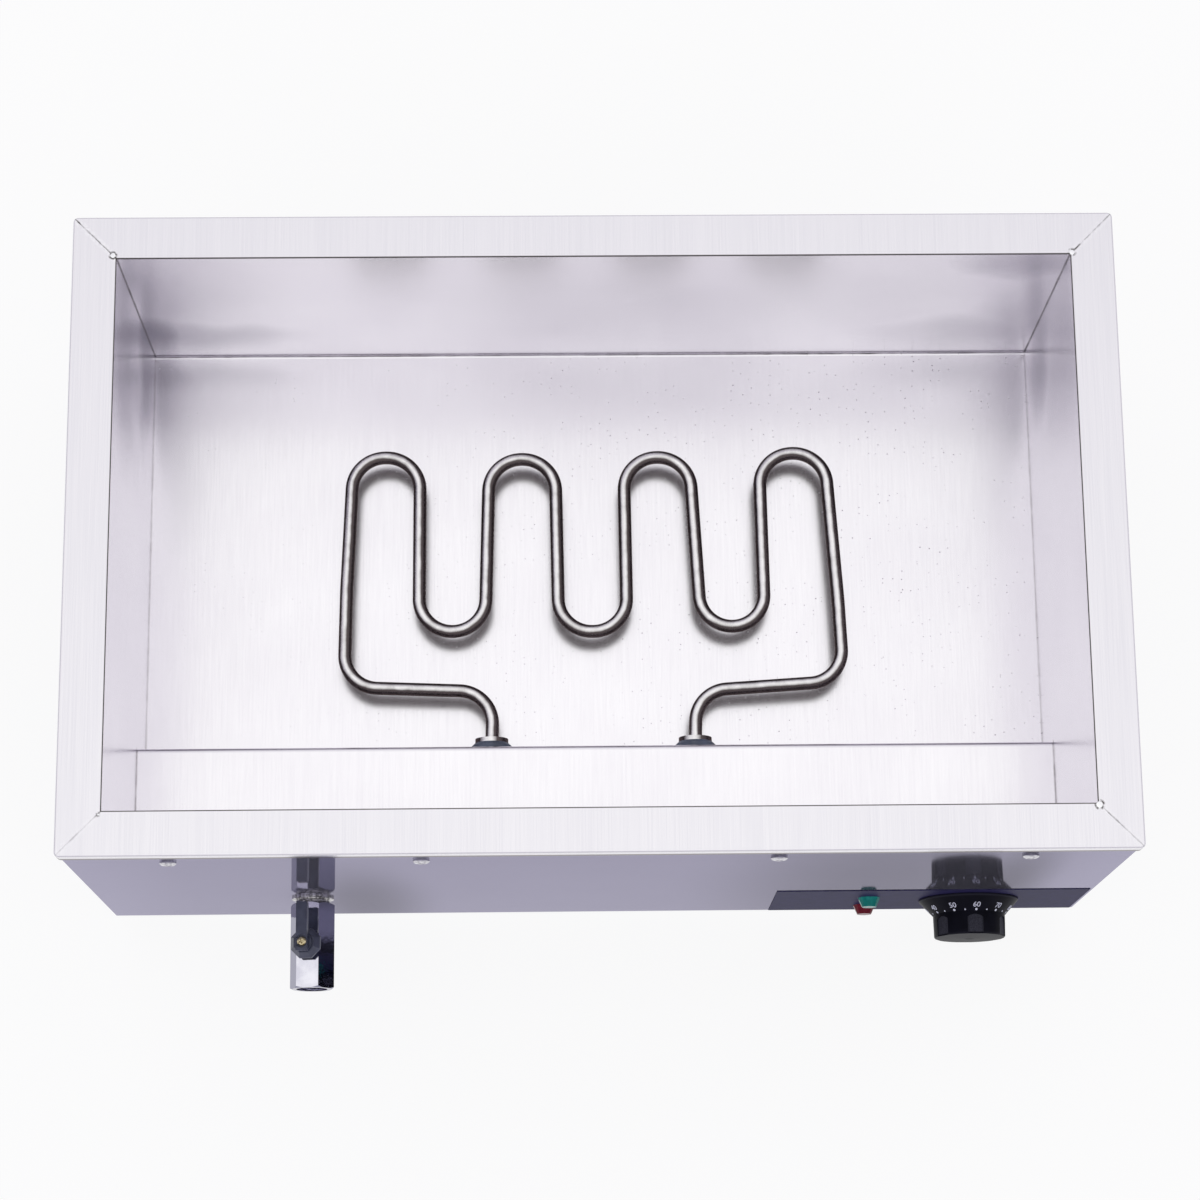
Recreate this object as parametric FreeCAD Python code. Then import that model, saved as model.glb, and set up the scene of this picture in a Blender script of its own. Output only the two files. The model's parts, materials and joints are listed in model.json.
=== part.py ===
# Electric food warmer: a wet-well bain-marie with a mitred rim, a stepped water tank, an immersed
# serpentine element, a capillary thermostat and a ball valve that drains the tank at the front.
#
# Frame: millimetres, X to the right, Y to the back, Z up. The origin is the bottom centre of the
# whole appliance, so z = 0 is the worktop and x = 0 the middle of the tank.
import FreeCAD
import Part
import math
import os

V = FreeCAD.Vector
PARTS = "parts"

# ---- driving dimensions ------------------------------------------------------------------------
# rim and tank
rim_length = 600.0          # X, over the folded lips
rim_depth = 372.0           # Y, over the folded lips
rim_band = 25.5             # width of the flat band all round
rim_lip = 10.0              # drop of the folded lip
rim_corner = 3.0            # plan radius of the outer corners
rim_fold = 1.2              # outer radius of the fold from band to lip
sheet = 1.0                 # stainless sheet of rim and tank
tank_depth = 178.0          # rim top to tank floor
step_rise = 40.0            # tank floor to the top of the step
step_depth = 62.0           # front tank wall to the step's back wall
tank_bend = 2.0             # inside radius of the tank's bends

# outer casing
housing_height = 240.0      # rim top to the casing's lower edge
panel_sheet = 0.8
panel_bend = 1.0            # inside radius of the panels' bends
lip_gap = 0.8               # play between the rim's lip and the panels
panel_return = 14.0         # depth of the folded returns on front and back panels
side_flange = 36.0          # bottom flange of the side panels
end_flange = 14.0           # bottom flange of the front and back panels
flange_gap = 0.4            # play where one flange ends beside another
base_sheet = 1.0
base_inset = 0.5            # base plate's edge inside the panels' faces
vent_length = 34.0
vent_width = 4.0
vent_pitch = 11.0
vent_count = 7
vent_bank_x = 128.0         # middle of each bank of vents from the centre line

# fixing angles and their screws
angle_leg = 40.0
angle_shelf = 14.0
angle_sheet = 1.5
angle_inset = 36.2          # angles' ends, from the side panels' faces
rim_screw_inset = 57.2      # outer screws, from the side panels' faces
rim_screw_inner = 100.0     # inner screws, from the centre line
rim_screw_drop = 31.0       # below the rim top, clear of the lip
rim_screw_head = 4.75       # head radius
rim_screw_rise = 2.2
rim_screw_shank = 2.0
rim_screw_length = 9.0
screw_play = 0.1            # radial play of any screw in its hole
pan_side = 0.45             # share of a pan head's height below its slope
pan_flat = 0.68             # share of its radius on the flat top

# base screws
base_screw_head = 3.6
base_screw_rise = 2.2
base_screw_shank = 1.75
base_screw_length = 7.0
base_screw_inset = 8.0      # from the panels' faces
base_screw_spread = 105.0

# feet
foot_height = 13.0
foot_top = 15.0             # radius
foot_bottom = 12.5          # radius
foot_bevel = 1.0
foot_recess = 6.8           # radius of the screw's recess
foot_recess_depth = 7.0
foot_inset = 24.0           # from the panels' faces
foot_screw_shank = 2.5
foot_screw_head = 4.8
foot_screw_rise = 3.2
foot_nut_flats = 8.0
foot_nut_height = 4.0
foot_screw_over = 1.5       # thread standing above the nut

# heating element
tube_radius = 4.0
element_x = -1.2            # middle of the serpentine
element_rise = 18.0         # tube axis above the tank floor
leg_pitch = 42.6
legs = 8
outer_leg_splay = 3.2       # the two outer legs lean out this much at the front
serpentine_reach = 186.3    # step's back wall to the far bends' centre line
serpentine_start = 75.4     # step's back wall to the near bends' centre line
run_reach = 40.4            # step's back wall to the outer end of the front runs
run_fall = 2.6              # the front runs come this much nearer at their inner ends
bend_radius = 20.6
terminal_spacing = 123.4
bush_flange = 10.0          # radius
bush_flange_height = 2.6
bush_shank = 6.9
bush_length = 16.0          # shank beyond the wall
braze_gap = 0.05
hole_play = 0.25
gasket_radius = 12.2
gasket_lip = 10.2
gasket_height = 5.5
gasket_edge = 3.6           # height of its upright edge
element_nut_flats = 19.0
element_nut_height = 5.0
tube_tail = 24.0            # tube beyond the wall, in the compartment
insulator_radius = 3.6
insulator_height = 5.0
pin_radius = 1.6
pin_length = 16.0

# drain
drain_inset = 127.2         # from the left side panel's face
drain_rise = 6.0            # tank floor to the drain's axis
drain_bore = 5.5
nipple_radius = 9.85        # thread at its pitch radius
thread_play = 0.05
drain_washer_radius = 12.6
drain_washer_height = 1.2
drain_nut_flats = 27.0
drain_nut_height = 4.0

# ball valve, measured outwards from the front panel
valve_roll = -10.0          # degrees, the stem leans to the left
valve_flats = 23.4
valve_start = 4.0
valve_end = 55.0
valve_chamfer = 1.6
valve_socket = 11.0         # depth of the inlet thread
outlet_radius = 9.3         # open thread at its crest
outlet_depth = 12.0
stem_reach = 29.4           # panel to the stem's axis
ball_radius = 8.0
ball_bore = 4.6
cavity_play = 0.6
seat_gap = 0.05
seat_bore = 5.2
seat_inner = 4.2            # ball centre to the seat's near face
retainer_length = 5.4
stem_radius = 3.0
stem_play = 0.05
stem_collar = 4.4
stem_collar_height = 1.6
stem_collar_play = 0.3
stem_blade = 2.2            # thickness of the blade in the ball's slot
slot_play = 0.05
slot_depth = 2.4
stem_tower = 6.6            # radius of the boss round the stem
stem_tower_top = 14.6       # from the flow axis
seal_width = 1.3            # packing rings, rectangular in section
seal_height = 1.2
seal_starts = (11.2, 13.0)  # from the flow axis

# lever
hub_sides = 8
hub_radius = 9.6            # to the corners
hub_top_radius = 6.6        # to the corners
hub_lift = 0.5              # gap under the hub
hub_height = 6.0
hub_skirt = 1.6
lever_width = 6.6
lever_back = 23.6
lever_front = 5.6
lever_height = 4.2
lever_neck = 5.2            # radius between the hub and the arm
lever_top = 27.0            # from the flow axis
lever_tip = 1.0             # radius of the lever's corners
hub_web = 1.4               # lever material between the stem and the pocket
lever_pocket = 3.8          # radius of the screw's recess
lever_pocket_depth = 1.8
lever_screw_head = 2.75
lever_screw_rise = 1.3
lever_screw_shank = 1.5
lever_screw_length = 9.0
stem_head_play = 0.1

# control panel
knob_inset = 70.2           # from the right side panel's face
knob_gap = 0.4
skirt_radius = 30.2
skirt_edge = 0.7
cone_height = 9.4
cone_radius = 22.1
grip_radius = 21.9
grip_front_radius = 21.6
grip_height = 22.6
grip_crown = 1.2            # rise of the front's middle
grip_edge = 0.6             # bevel round the front
knob_wall = 2.6
knob_hub = 6.5
knob_hub_lift = 0.6         # hub end in front of the skirt's back
flute_count = 6
flute_width = 9.8
flute_depth = 1.3
flute_first = 3.0           # degrees, clockwise from the top
flute_land = 2.0            # skirt to the flute's end
flute_arch = 1.6            # rise of the arched end
shaft_radius = 3.0
shaft_flat = 1.6            # axis to the flat
shaft_reach = 17.0          # tip, out from the panel
shaft_root = 9.0            # length held in the thermostat
shaft_play = 0.05
shaft_hole = 5.5

label_length = 188.5
label_height = 78.0
label_right_gap = 1.7       # to the panel's edge
label_rise = 1.0            # above the panel's lower edge
label_sheet = 0.4

lamp_offset = 62.0          # to the left of the knob
green_lift = 10.0           # above the knob's axis
lamp_pitch = 31.0           # green lamp down to the red one
lamp_base = 6.9             # lens radius at the panel
lamp_nose = 4.4
lamp_rise = 5.6
lamp_facets = 12
lamp_barrel = 4.9
lamp_barrel_length = 23.0
lamp_hole_play = 0.2
lamp_clip_radius = 7.6
lamp_clip_height = 1.0

# thermostat
bracket_half_width = 19.0
bracket_half_height = 11.0
bracket_sheet = 1.5
thermostat_half_width = 11.5
thermostat_half_height = 15.0
thermostat_depth = 30.0
thermostat_corner = 2.0
tab_x = 6.0
tab_half = 0.4
tab_width = 6.3
tab_length = 8.0
thermostat_screw_x = 14.6
thermostat_screw_shank = 2.0
thermostat_screw_head = 3.5
thermostat_screw_rise = 1.6
thermostat_screw_length = 6.0
capillary_radius = 1.0
capillary_bend = 9.0
capillary_run = 22.5        # thermostat to where it has sloped down under the tank
bulb_radius = 3.0
bulb_length = 82.0
bulb_offset = 108.0         # to the left of the knob
bulb_from_step = 34.0       # step's back wall to the bulb's front end
clip_sheet = 0.8
clip_width = 16.0
clip_foot = 8.0

# terminal block, earth stud and cable gland
block_offset = 148.0        # to the left of the knob
block_from_panel = 40.0
block_half_length = 21.0
block_half_width = 9.5
block_height = 17.0
block_ways = 3
block_way_pitch = 11.0
block_way_radius = 2.6
block_screw_shank = 1.5
block_screw_head = 2.8
block_screw_rise = 1.8
block_screw_inset = 3.5     # from the block's ends
block_screw_over = 1.0      # thread below the base plate
earth_offset = 50.0         # to the left of the terminal block
earth_radius = 2.5
earth_height = 15.0
earth_nut_flats = 8.0
earth_nut_height = 4.0
gland_inset = 66.2          # from the right side panel's face
gland_rise = 32.0           # above the panel's lower edge
gland_flats = 19.0
gland_hex = 5.0
gland_dome = 8.4            # radius
gland_dome_length = 12.0
gland_straight = 6.6        # length of the dome before it narrows
gland_lip = 1.6             # wall at the mouth
gland_thread = 7.6
gland_thread_length = 10.0
gland_bore = 4.0
gland_nut_flats = 18.0
gland_nut_height = 4.5

over = 1.0                  # how far a cutter runs past the faces it cuts
near = 0.01                 # two places closer than this are the same

# ---- places worked out from the dimensions above -----------------------------------------------
inset = sheet + lip_gap                                  # rim's edge to the panels' faces
gland_reach = gland_hex + gland_dome_length
panel_span = rim_depth - 2 * inset                       # Y, over the panels
front_y = (valve_end - gland_reach - panel_span) / 2     # outer face of the front panel
back_y = front_y + panel_span
half_x = rim_length / 2 - inset                          # outer faces of the side panels
rim_front_y = front_y - inset
rim_back_y = back_y + inset

base_z = foot_height
panel_z = base_z + base_sheet
rim_z = panel_z + housing_height
band_z = rim_z - sheet                                   # underside of the rim's band
floor_z = rim_z - tank_depth
step_z = floor_z + step_rise
well_half_x = rim_length / 2 - rim_band
well_front_y = rim_front_y + rim_band
well_back_y = rim_back_y - rim_band
step_back_y = well_front_y + step_depth
step_face_y = step_back_y - sheet                        # compartment side of the step's back wall

element_z = floor_z + element_rise
rim_screw_x = (rim_screw_inset - half_x, -rim_screw_inner, rim_screw_inner, half_x - rim_screw_inset)
angle_half = half_x - angle_inset
drain_x = drain_inset - half_x
drain_z = floor_z + drain_rise
label_end = half_x - label_right_gap
label_z = panel_z + label_rise
knob_x = half_x - knob_inset
knob_z = label_z + label_height / 2
lamp_x = knob_x - lamp_offset
green_z = knob_z + green_lift
red_z = green_z - lamp_pitch
bulb_x = knob_x - bulb_offset
block_x = knob_x - block_offset
earth_x = block_x - earth_offset
gland_x = half_x - gland_inset
gland_z = panel_z + gland_rise
front_inner_y = front_y + panel_sheet
back_inner_y = back_y - panel_sheet
valve_corner = valve_flats / math.sqrt(3)                # half across the corners
UP = V(0, 0, 1)


# ---- helpers -----------------------------------------------------------------------------------
def block(x0, x1, y0, y1, z0, z1):
    return Part.makeBox(x1 - x0, y1 - y0, z1 - z0, V(x0, y0, z0))


def disc(radius, z0, z1, x=0.0, y=0.0):
    return Part.makeCylinder(radius, z1 - z0, V(x, y, z0))


def ring(outer, inner, z0, z1):
    return disc(outer, z0, z1).cut(disc(inner, z0, z1))


def polygon_prism(corners, direction):
    points = [V(*corner) for corner in corners]
    return Part.Face(Part.makePolygon(points + points[:1])).extrude(direction)


def hexagon(flats, z0, z1):
    radius = flats / math.sqrt(3)
    turns = [math.radians(60 * k) for k in range(6)]
    return polygon_prism([(radius * math.cos(a), radius * math.sin(a), z0) for a in turns],
                         V(0, 0, z1 - z0))


def turned(profile):
    """Solid of revolution about Z from (radius, height) points."""
    points = [V(radius, 0, height) for radius, height in profile]
    return Part.Face(Part.makePolygon(points + points[:1])).revolve(V(), UP, 360)


def rod(start, end, radius):
    return Part.makeCylinder(radius, start.distanceToPoint(end), start, end - start)


def bent_rod(points, bend, radius):
    """Round rod of straight runs joined by tangent arcs of one centre-line radius."""
    pieces = []
    start = points[0]
    for before, corner, after in zip(points, points[1:], points[2:]):
        back = (before - corner).normalize()
        ahead = (after - corner).normalize()
        half = back.getAngle(ahead) / 2
        reach = bend / math.tan(half)
        first = corner + back * reach
        centre = corner + (back + ahead).normalize() * (bend / math.sin(half))
        section = Part.Face(Part.Wire([Part.makeCircle(radius, first, back)]))
        pieces.append(rod(start, first, radius))
        pieces.append(section.revolve(centre, ahead.cross(back), 180 - 2 * math.degrees(half)))
        start = corner + ahead * reach
    pieces.append(rod(start, points[-1], radius))
    return pieces[0].fuse(pieces[1:])


def outward(shape, x, z, roll=0.0):
    """Turn a piece built along +Z, with +Y as its top, to stand out of the front panel."""
    placed = shape.copy()
    placed.rotate(V(), V(1, 0, 0), 90)
    placed.rotate(V(), V(0, 1, 0), roll)
    placed.translate(V(x, front_y, z))
    return placed


def backward(shape, x, z):
    """Turn a piece built along +Z to stand out of the back panel."""
    placed = shape.copy()
    placed.rotate(V(), V(1, 0, 0), -90)
    placed.translate(V(x, back_y, z))
    return placed


def screw(head, rise, shank, length):
    """Pan-head screw: the head stands on z = 0, the shank goes down."""
    return turned([(0, -length), (shank, -length), (shank, 0), (head, 0), (head, rise * pan_side),
                   (head * pan_flat, rise), (0, rise)])


def nut(flats, hole, z0, z1):
    return hexagon(flats, z0, z1).cut(disc(hole, z0, z1))


def faceted_cone(sides, low_radius, low, high_radius, high):
    """Solid between two regular polygons given by their corner radii, with a flat towards +X."""
    wires = []
    for radius, height in ((low_radius, low), (high_radius, high)):
        turns = [2 * math.pi * (k + 0.5) / sides for k in range(sides + 1)]
        wires.append(Part.makePolygon([V(radius * math.cos(a), radius * math.sin(a), height)
                                       for a in turns]))
    return Part.makeLoft(wires, True, True)


def group(shapes):
    return Part.makeCompound(shapes)


def mirrored(shape):
    """Left-hand copy of a right-hand piece."""
    return shape.mirror(V(), V(1, 0, 0))


# ---- rim ---------------------------------------------------------------------------------------
def rim_frame():
    """The whole folded rim before it is parted at its mitres."""
    outer = block(-rim_length / 2, rim_length / 2, rim_front_y, rim_back_y, rim_z - rim_lip, rim_z)
    outer = outer.makeFillet(rim_corner, [e for e in outer.Edges if is_upright(e)])
    outer = outer.makeFillet(rim_fold, [e for e in outer.Edges if e.BoundBox.ZMin > rim_z - near])
    inner = block(-rim_length / 2 + sheet, rim_length / 2 - sheet,
                  rim_front_y + sheet, rim_back_y - sheet, rim_z - rim_lip, band_z)
    inner = inner.makeFillet(rim_corner - sheet, [e for e in inner.Edges if is_upright(e)])
    well = block(-well_half_x, well_half_x, well_front_y, well_back_y, band_z, rim_z)
    return outer.cut([inner, well])


def is_upright(edge):
    box = edge.BoundBox
    return box.XLength < near and box.YLength < near


def rim_wedge(corner_a, corner_b, out):
    """Prism over one side of the rim, bounded by the two mitre planes."""
    far_a = (corner_a[0] + out[0][0], corner_a[1] + out[0][1])
    far_b = (corner_b[0] + out[1][0], corner_b[1] + out[1][1])
    low = rim_z - rim_lip
    return polygon_prism([corner_a + (low,), corner_b + (low,), far_b + (low,), far_a + (low,)],
                         V(0, 0, rim_lip))


def rim_members():
    frame = rim_frame()
    out = rim_band + over
    front_left = (-well_half_x, well_front_y)
    front_right = (well_half_x, well_front_y)
    back_left = (-well_half_x, well_back_y)
    back_right = (well_half_x, well_back_y)
    sides = {
        "rim_front": (front_left, front_right, ((-out, -out), (out, -out))),
        "rim_right": (front_right, back_right, ((out, -out), (out, out))),
        "rim_back": (back_right, back_left, ((out, out), (-out, out))),
        "rim_left": (back_left, front_left, ((-out, out), (-out, -out))),
    }
    return {name: frame.common(rim_wedge(*side)) for name, side in sides.items()}


# ---- tank --------------------------------------------------------------------------------------
def tank_form(grow):
    """The tank's inside, or its outside when grown by the sheet."""
    front = well_front_y - grow
    step = step_back_y - grow
    back = well_back_y + grow
    shelf = step_z - grow
    floor = floor_z - grow
    half = well_half_x + grow
    form = polygon_prism([(-half, front, band_z), (-half, front, shelf), (-half, step, shelf),
                          (-half, step, floor), (-half, back, floor), (-half, back, band_z)],
                         V(2 * half, 0, 0))
    hollows = [(front, shelf), (step, floor), (back, floor)]
    form = form.makeFillet(tank_bend + grow, [long_edge(form, y, z) for y, z in hollows])
    return form.makeFillet(tank_bend + sheet - grow, [long_edge(form, step, shelf)])


def long_edge(shape, y, z):
    """The edge along X at a given y and z."""
    for edge in shape.Edges:
        box = edge.BoundBox
        along_x = box.YLength < near and box.ZLength < near
        if along_x and abs(box.YMin - y) + abs(box.ZMin - z) < 2 * near:
            return edge
    raise ValueError("no edge along X there")


def wall_hole(radius, x, z):
    """Cutter through the step's back wall."""
    return Part.makeCylinder(radius, 3 * sheet, V(x, step_face_y - sheet, z), V(0, 1, 0))


def terminal_x():
    return (element_x - terminal_spacing / 2, element_x + terminal_spacing / 2)


def water_tank():
    shell = tank_form(sheet).cut(tank_form(0.0))
    holes = [wall_hole(bush_shank + hole_play, x, element_z) for x in terminal_x()]
    holes.append(wall_hole(drain_bore, drain_x, drain_z))
    return shell.cut(holes)


# ---- casing ------------------------------------------------------------------------------------
def end_panel():
    """Flat panel with folded side returns and a bottom flange, outer face on y = 0."""
    half = half_x - panel_sheet
    outside = block(-half, half, 0, panel_return, panel_z, band_z)
    outside = outside.makeFillet(panel_bend + panel_sheet,
                                 [e for e in outside.Edges if is_upright(e) and e.BoundBox.YMin < near])
    inside = block(-half + panel_sheet, half - panel_sheet, panel_sheet, panel_return + over,
                   panel_z - over, band_z + over)
    inside = inside.makeFillet(panel_bend,
                               [e for e in inside.Edges if is_upright(e) and e.BoundBox.YMin < panel_return])
    heel = panel_bend + panel_sheet + flange_gap
    relief = block(-half - over, half + over, heel - flange_gap, panel_return + over, panel_z - over,
                   panel_z + panel_sheet)
    flange_half = half_x - side_flange - flange_gap
    flange = block(-flange_half, flange_half, panel_sheet, end_flange, panel_z, panel_z + panel_sheet)
    return outside.cut([inside, relief]).fuse(flange)


def cross_hole(radius, x, z):
    """Cutter through a panel that stands on y = 0."""
    return Part.makeCylinder(radius, angle_sheet + 2 * over, V(x, -over, z), V(0, 1, 0))


def front_panel():
    holes = [cross_hole(rim_screw_shank + screw_play, x, rim_z - rim_screw_drop) for x in rim_screw_x]
    holes.append(cross_hole(shaft_hole, knob_x, knob_z))
    holes += [cross_hole(thermostat_screw_shank + screw_play, knob_x + side * thermostat_screw_x, knob_z)
              for side in (-1, 1)]
    holes += [cross_hole(lamp_barrel + lamp_hole_play, lamp_x, z) for z in (green_z, red_z)]
    holes.append(cross_hole(nipple_radius + hole_play, drain_x, drain_z))
    holes += [flange_hole(x, base_screw_inset) for x in (-base_screw_spread, base_screw_spread)]
    panel = end_panel().cut(holes)
    panel.translate(V(0, front_y, 0))
    return panel


def flange_hole(x, y):
    return disc(base_screw_shank + screw_play, panel_z - over, panel_z + panel_sheet + over, x, y)


def back_panel():
    holes = [cross_hole(rim_screw_shank + screw_play, x, rim_z - rim_screw_drop) for x in rim_screw_x]
    holes.append(cross_hole(gland_thread + hole_play, -gland_x, gland_z))
    holes += [flange_hole(x, base_screw_inset) for x in (-base_screw_spread, base_screw_spread)]
    panel = end_panel().cut(holes)
    panel.rotate(V(), UP, 180)
    panel.translate(V(0, back_y, 0))
    return panel


def side_panel():
    """Right-hand panel: a flat side with a wide bottom flange."""
    wall = block(half_x - panel_sheet, half_x, front_y, back_y, panel_z, band_z)
    heel = panel_bend + panel_sheet + flange_gap
    flange = block(half_x - side_flange, half_x - panel_sheet, front_y + heel, back_y - heel,
                   panel_z, panel_z + panel_sheet)
    holes = [disc(foot_screw_shank + screw_play, panel_z - over, panel_z + panel_sheet + over,
                  half_x - foot_inset, y) for y in foot_ys()]
    holes += [flange_hole(half_x - base_screw_inset, y) for y in side_screw_ys()]
    return wall.fuse(flange).cut(holes)


def foot_ys():
    return (front_y + foot_inset, back_y - foot_inset)


def side_screw_ys():
    middle = (front_y + back_y) / 2
    return (middle - base_screw_spread, middle, middle + base_screw_spread)


def foot_places():
    return {"front_left": (-half_x + foot_inset, foot_ys()[0]),
            "front_right": (half_x - foot_inset, foot_ys()[0]),
            "back_left": (-half_x + foot_inset, foot_ys()[1]),
            "back_right": (half_x - foot_inset, foot_ys()[1])}


def base_screw_places():
    sides = [(x, y) for x in (-half_x + base_screw_inset, half_x - base_screw_inset)
             for y in side_screw_ys()]
    ends = [(x, y) for x in (-base_screw_spread, base_screw_spread)
            for y in (front_y + base_screw_inset, back_y - base_screw_inset)]
    return sides + ends


def vent_slot(x, y):
    """Round-ended slot along Y."""
    half = vent_length / 2 - vent_width / 2
    slot = block(x - vent_width / 2, x + vent_width / 2, y - half, y + half, base_z - over,
                 panel_z + over)
    ends = [disc(vent_width / 2, base_z - over, panel_z + over, x, y + end) for end in (-half, half)]
    return slot.fuse(ends).removeSplitter()


def base_plate():
    plate = block(-half_x + base_inset, half_x - base_inset, front_y + base_inset,
                  back_y - base_inset, base_z, panel_z)
    middle = (front_y + back_y) / 2
    first = -(vent_count - 1) / 2
    vents = [vent_slot(bank + (first + k) * vent_pitch, middle)
             for bank in (-vent_bank_x, vent_bank_x) for k in range(vent_count)]
    holes = [disc(foot_screw_shank + screw_play, base_z - over, panel_z + over, x, y)
             for x, y in foot_places().values()]
    holes += [disc(base_screw_shank + screw_play, base_z - over, panel_z + over, x, y)
              for x, y in base_screw_places()]
    holes += [disc(block_screw_shank + screw_play, base_z - over, panel_z + over, x, block_y())
              for x in block_screw_xs()]
    return plate.cut(vents + holes)


def fixing_angle():
    """Angle under the rim that takes the screws, its upright on y = 0."""
    upright = block(-angle_half, angle_half, 0, angle_sheet, band_z - angle_leg, band_z)
    shelf = block(-angle_half, angle_half, 0, angle_shelf, band_z - angle_sheet, band_z)
    holes = [cross_hole(rim_screw_shank + screw_play, x, rim_z - rim_screw_drop) for x in rim_screw_x]
    return upright.fuse(shelf).cut(holes).removeSplitter()


def front_fixing_angle():
    angle = fixing_angle()
    angle.translate(V(0, front_inner_y, 0))
    return angle


def back_fixing_angle():
    angle = fixing_angle()
    angle.rotate(V(), UP, 180)
    angle.translate(V(0, back_inner_y, 0))
    return angle


def rim_screw():
    return screw(rim_screw_head, rim_screw_rise, rim_screw_shank, rim_screw_length)


def front_rim_screws():
    return group([outward(rim_screw(), x, rim_z - rim_screw_drop) for x in rim_screw_x])


def back_rim_screws():
    return group([backward(rim_screw(), x, rim_z - rim_screw_drop) for x in rim_screw_x])


def base_screws():
    screws = []
    for x, y in base_screw_places():
        piece = screw(base_screw_head, base_screw_rise, base_screw_shank, base_screw_length)
        piece.rotate(V(), V(1, 0, 0), 180)
        piece.translate(V(x, y, base_z))
        screws.append(piece)
    return group(screws)


# ---- feet --------------------------------------------------------------------------------------
def foot(x, y):
    hole = foot_screw_shank + screw_play
    body = turned([(hole, foot_recess_depth), (foot_recess, foot_recess_depth), (foot_recess, 0),
                   (foot_bottom - foot_bevel, 0), (foot_bottom, foot_bevel), (foot_top, foot_height),
                   (hole, foot_height)])
    body.translate(V(x, y, 0))
    return body


def foot_stack_top():
    return panel_z + panel_sheet


def foot_screws():
    top = foot_stack_top() + foot_nut_height + foot_screw_over
    screws = []
    for x, y in foot_places().values():
        piece = screw(foot_screw_head, foot_screw_rise, foot_screw_shank, top - foot_recess_depth)
        piece.rotate(V(), V(1, 0, 0), 180)
        piece.translate(V(x, y, foot_recess_depth))
        screws.append(piece)
    return group(screws)


def foot_nuts():
    low = foot_stack_top()
    nuts = []
    for x, y in foot_places().values():
        piece = nut(foot_nut_flats, foot_screw_shank + thread_play, low, low + foot_nut_height)
        piece.translate(V(x, y, 0))
        nuts.append(piece)
    return group(nuts)


# ---- heating element ---------------------------------------------------------------------------
def element_corners():
    """Corner points of the right half of the tube, from its terminal to the middle of the coil."""
    near = step_back_y + serpentine_start
    far = step_back_y + serpentine_reach
    run = step_back_y + run_reach
    outer = leg_pitch * (legs - 1) / 2
    corners = [(terminal_spacing / 2, step_face_y - tube_tail),
               (terminal_spacing / 2, run - run_fall),
               (outer + outer_leg_splay, run),
               (outer, far)]
    for k in range(1, legs // 2):
        turn = (far, near) if k % 2 else (near, far)
        corners += [(outer - k * leg_pitch, y) for y in turn]
    return corners


def heating_element():
    right = [V(element_x + x, y, element_z) for x, y in element_corners()]
    left = [V(element_x - x, y, element_z) for x, y in element_corners()]
    return bent_rod(left + right[::-1], bend_radius, tube_radius)


def into_tank(shape, x):
    """Turn a piece built along +Z from the step's back wall to point into the tank."""
    placed = shape.copy()
    placed.rotate(V(), V(1, 0, 0), -90)
    placed.translate(V(x, step_back_y, element_z))
    return placed


def element_bush(x):
    """Flanged bush brazed on the tube, its shank through the wall."""
    hole = tube_radius + braze_gap
    top = gasket_height + bush_flange_height
    bush = turned([(hole, -sheet - bush_length), (bush_shank, -sheet - bush_length),
                   (bush_shank, gasket_height), (bush_flange, gasket_height), (bush_flange, top),
                   (hole, top)])
    return into_tank(bush, x)


def element_gaskets():
    hole = bush_shank + screw_play
    seal = turned([(hole, 0), (gasket_radius, 0), (gasket_radius, gasket_edge),
                   (gasket_lip, gasket_height), (hole, gasket_height)])
    return group([into_tank(seal, x) for x in terminal_x()])


def element_lock_nuts():
    piece = nut(element_nut_flats, bush_shank + thread_play, -sheet - element_nut_height, -sheet)
    return group([into_tank(piece, x) for x in terminal_x()])


def tail_end():
    """Tube's cut end, on the same axis as the pieces of into_tank."""
    return -sheet - tube_tail


def terminal_insulators():
    bead = ring(insulator_radius, pin_radius + braze_gap, tail_end() - insulator_height, tail_end())
    return group([into_tank(bead, x) for x in terminal_x()])


def terminal_pins():
    pin = disc(pin_radius, tail_end() - pin_length, tail_end())
    return group([into_tank(pin, x) for x in terminal_x()])


# ---- drain -------------------------------------------------------------------------------------
def drain_nipple():
    """Thick pipe from the tank wall to the valve's inlet; outward is +Z."""
    wall = -(step_face_y - front_y)
    return outward(ring(nipple_radius, drain_bore, wall, valve_start + valve_socket), drain_x, drain_z)


def drain_washer():
    return outward(ring(drain_washer_radius, nipple_radius + thread_play, 0, drain_washer_height),
                   drain_x, drain_z)


def drain_lock_nut():
    back = -panel_sheet
    return outward(nut(drain_nut_flats, nipple_radius + thread_play, back - drain_nut_height, back),
                   drain_x, drain_z)


# ---- ball valve: built along +Z with the stem towards +Y ---------------------------------------
def on_valve(shape):
    return outward(shape, drain_x, drain_z, valve_roll)


def across(shape):
    """Turn a piece built along +Z onto the stem's axis."""
    placed = shape.copy()
    placed.rotate(V(), V(1, 0, 0), -90)
    placed.translate(V(0, 0, stem_reach))
    return placed


def cavity_start():
    return valve_start + valve_socket + retainer_length


def cavity_end():
    return 2 * stem_reach - cavity_start()


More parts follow.
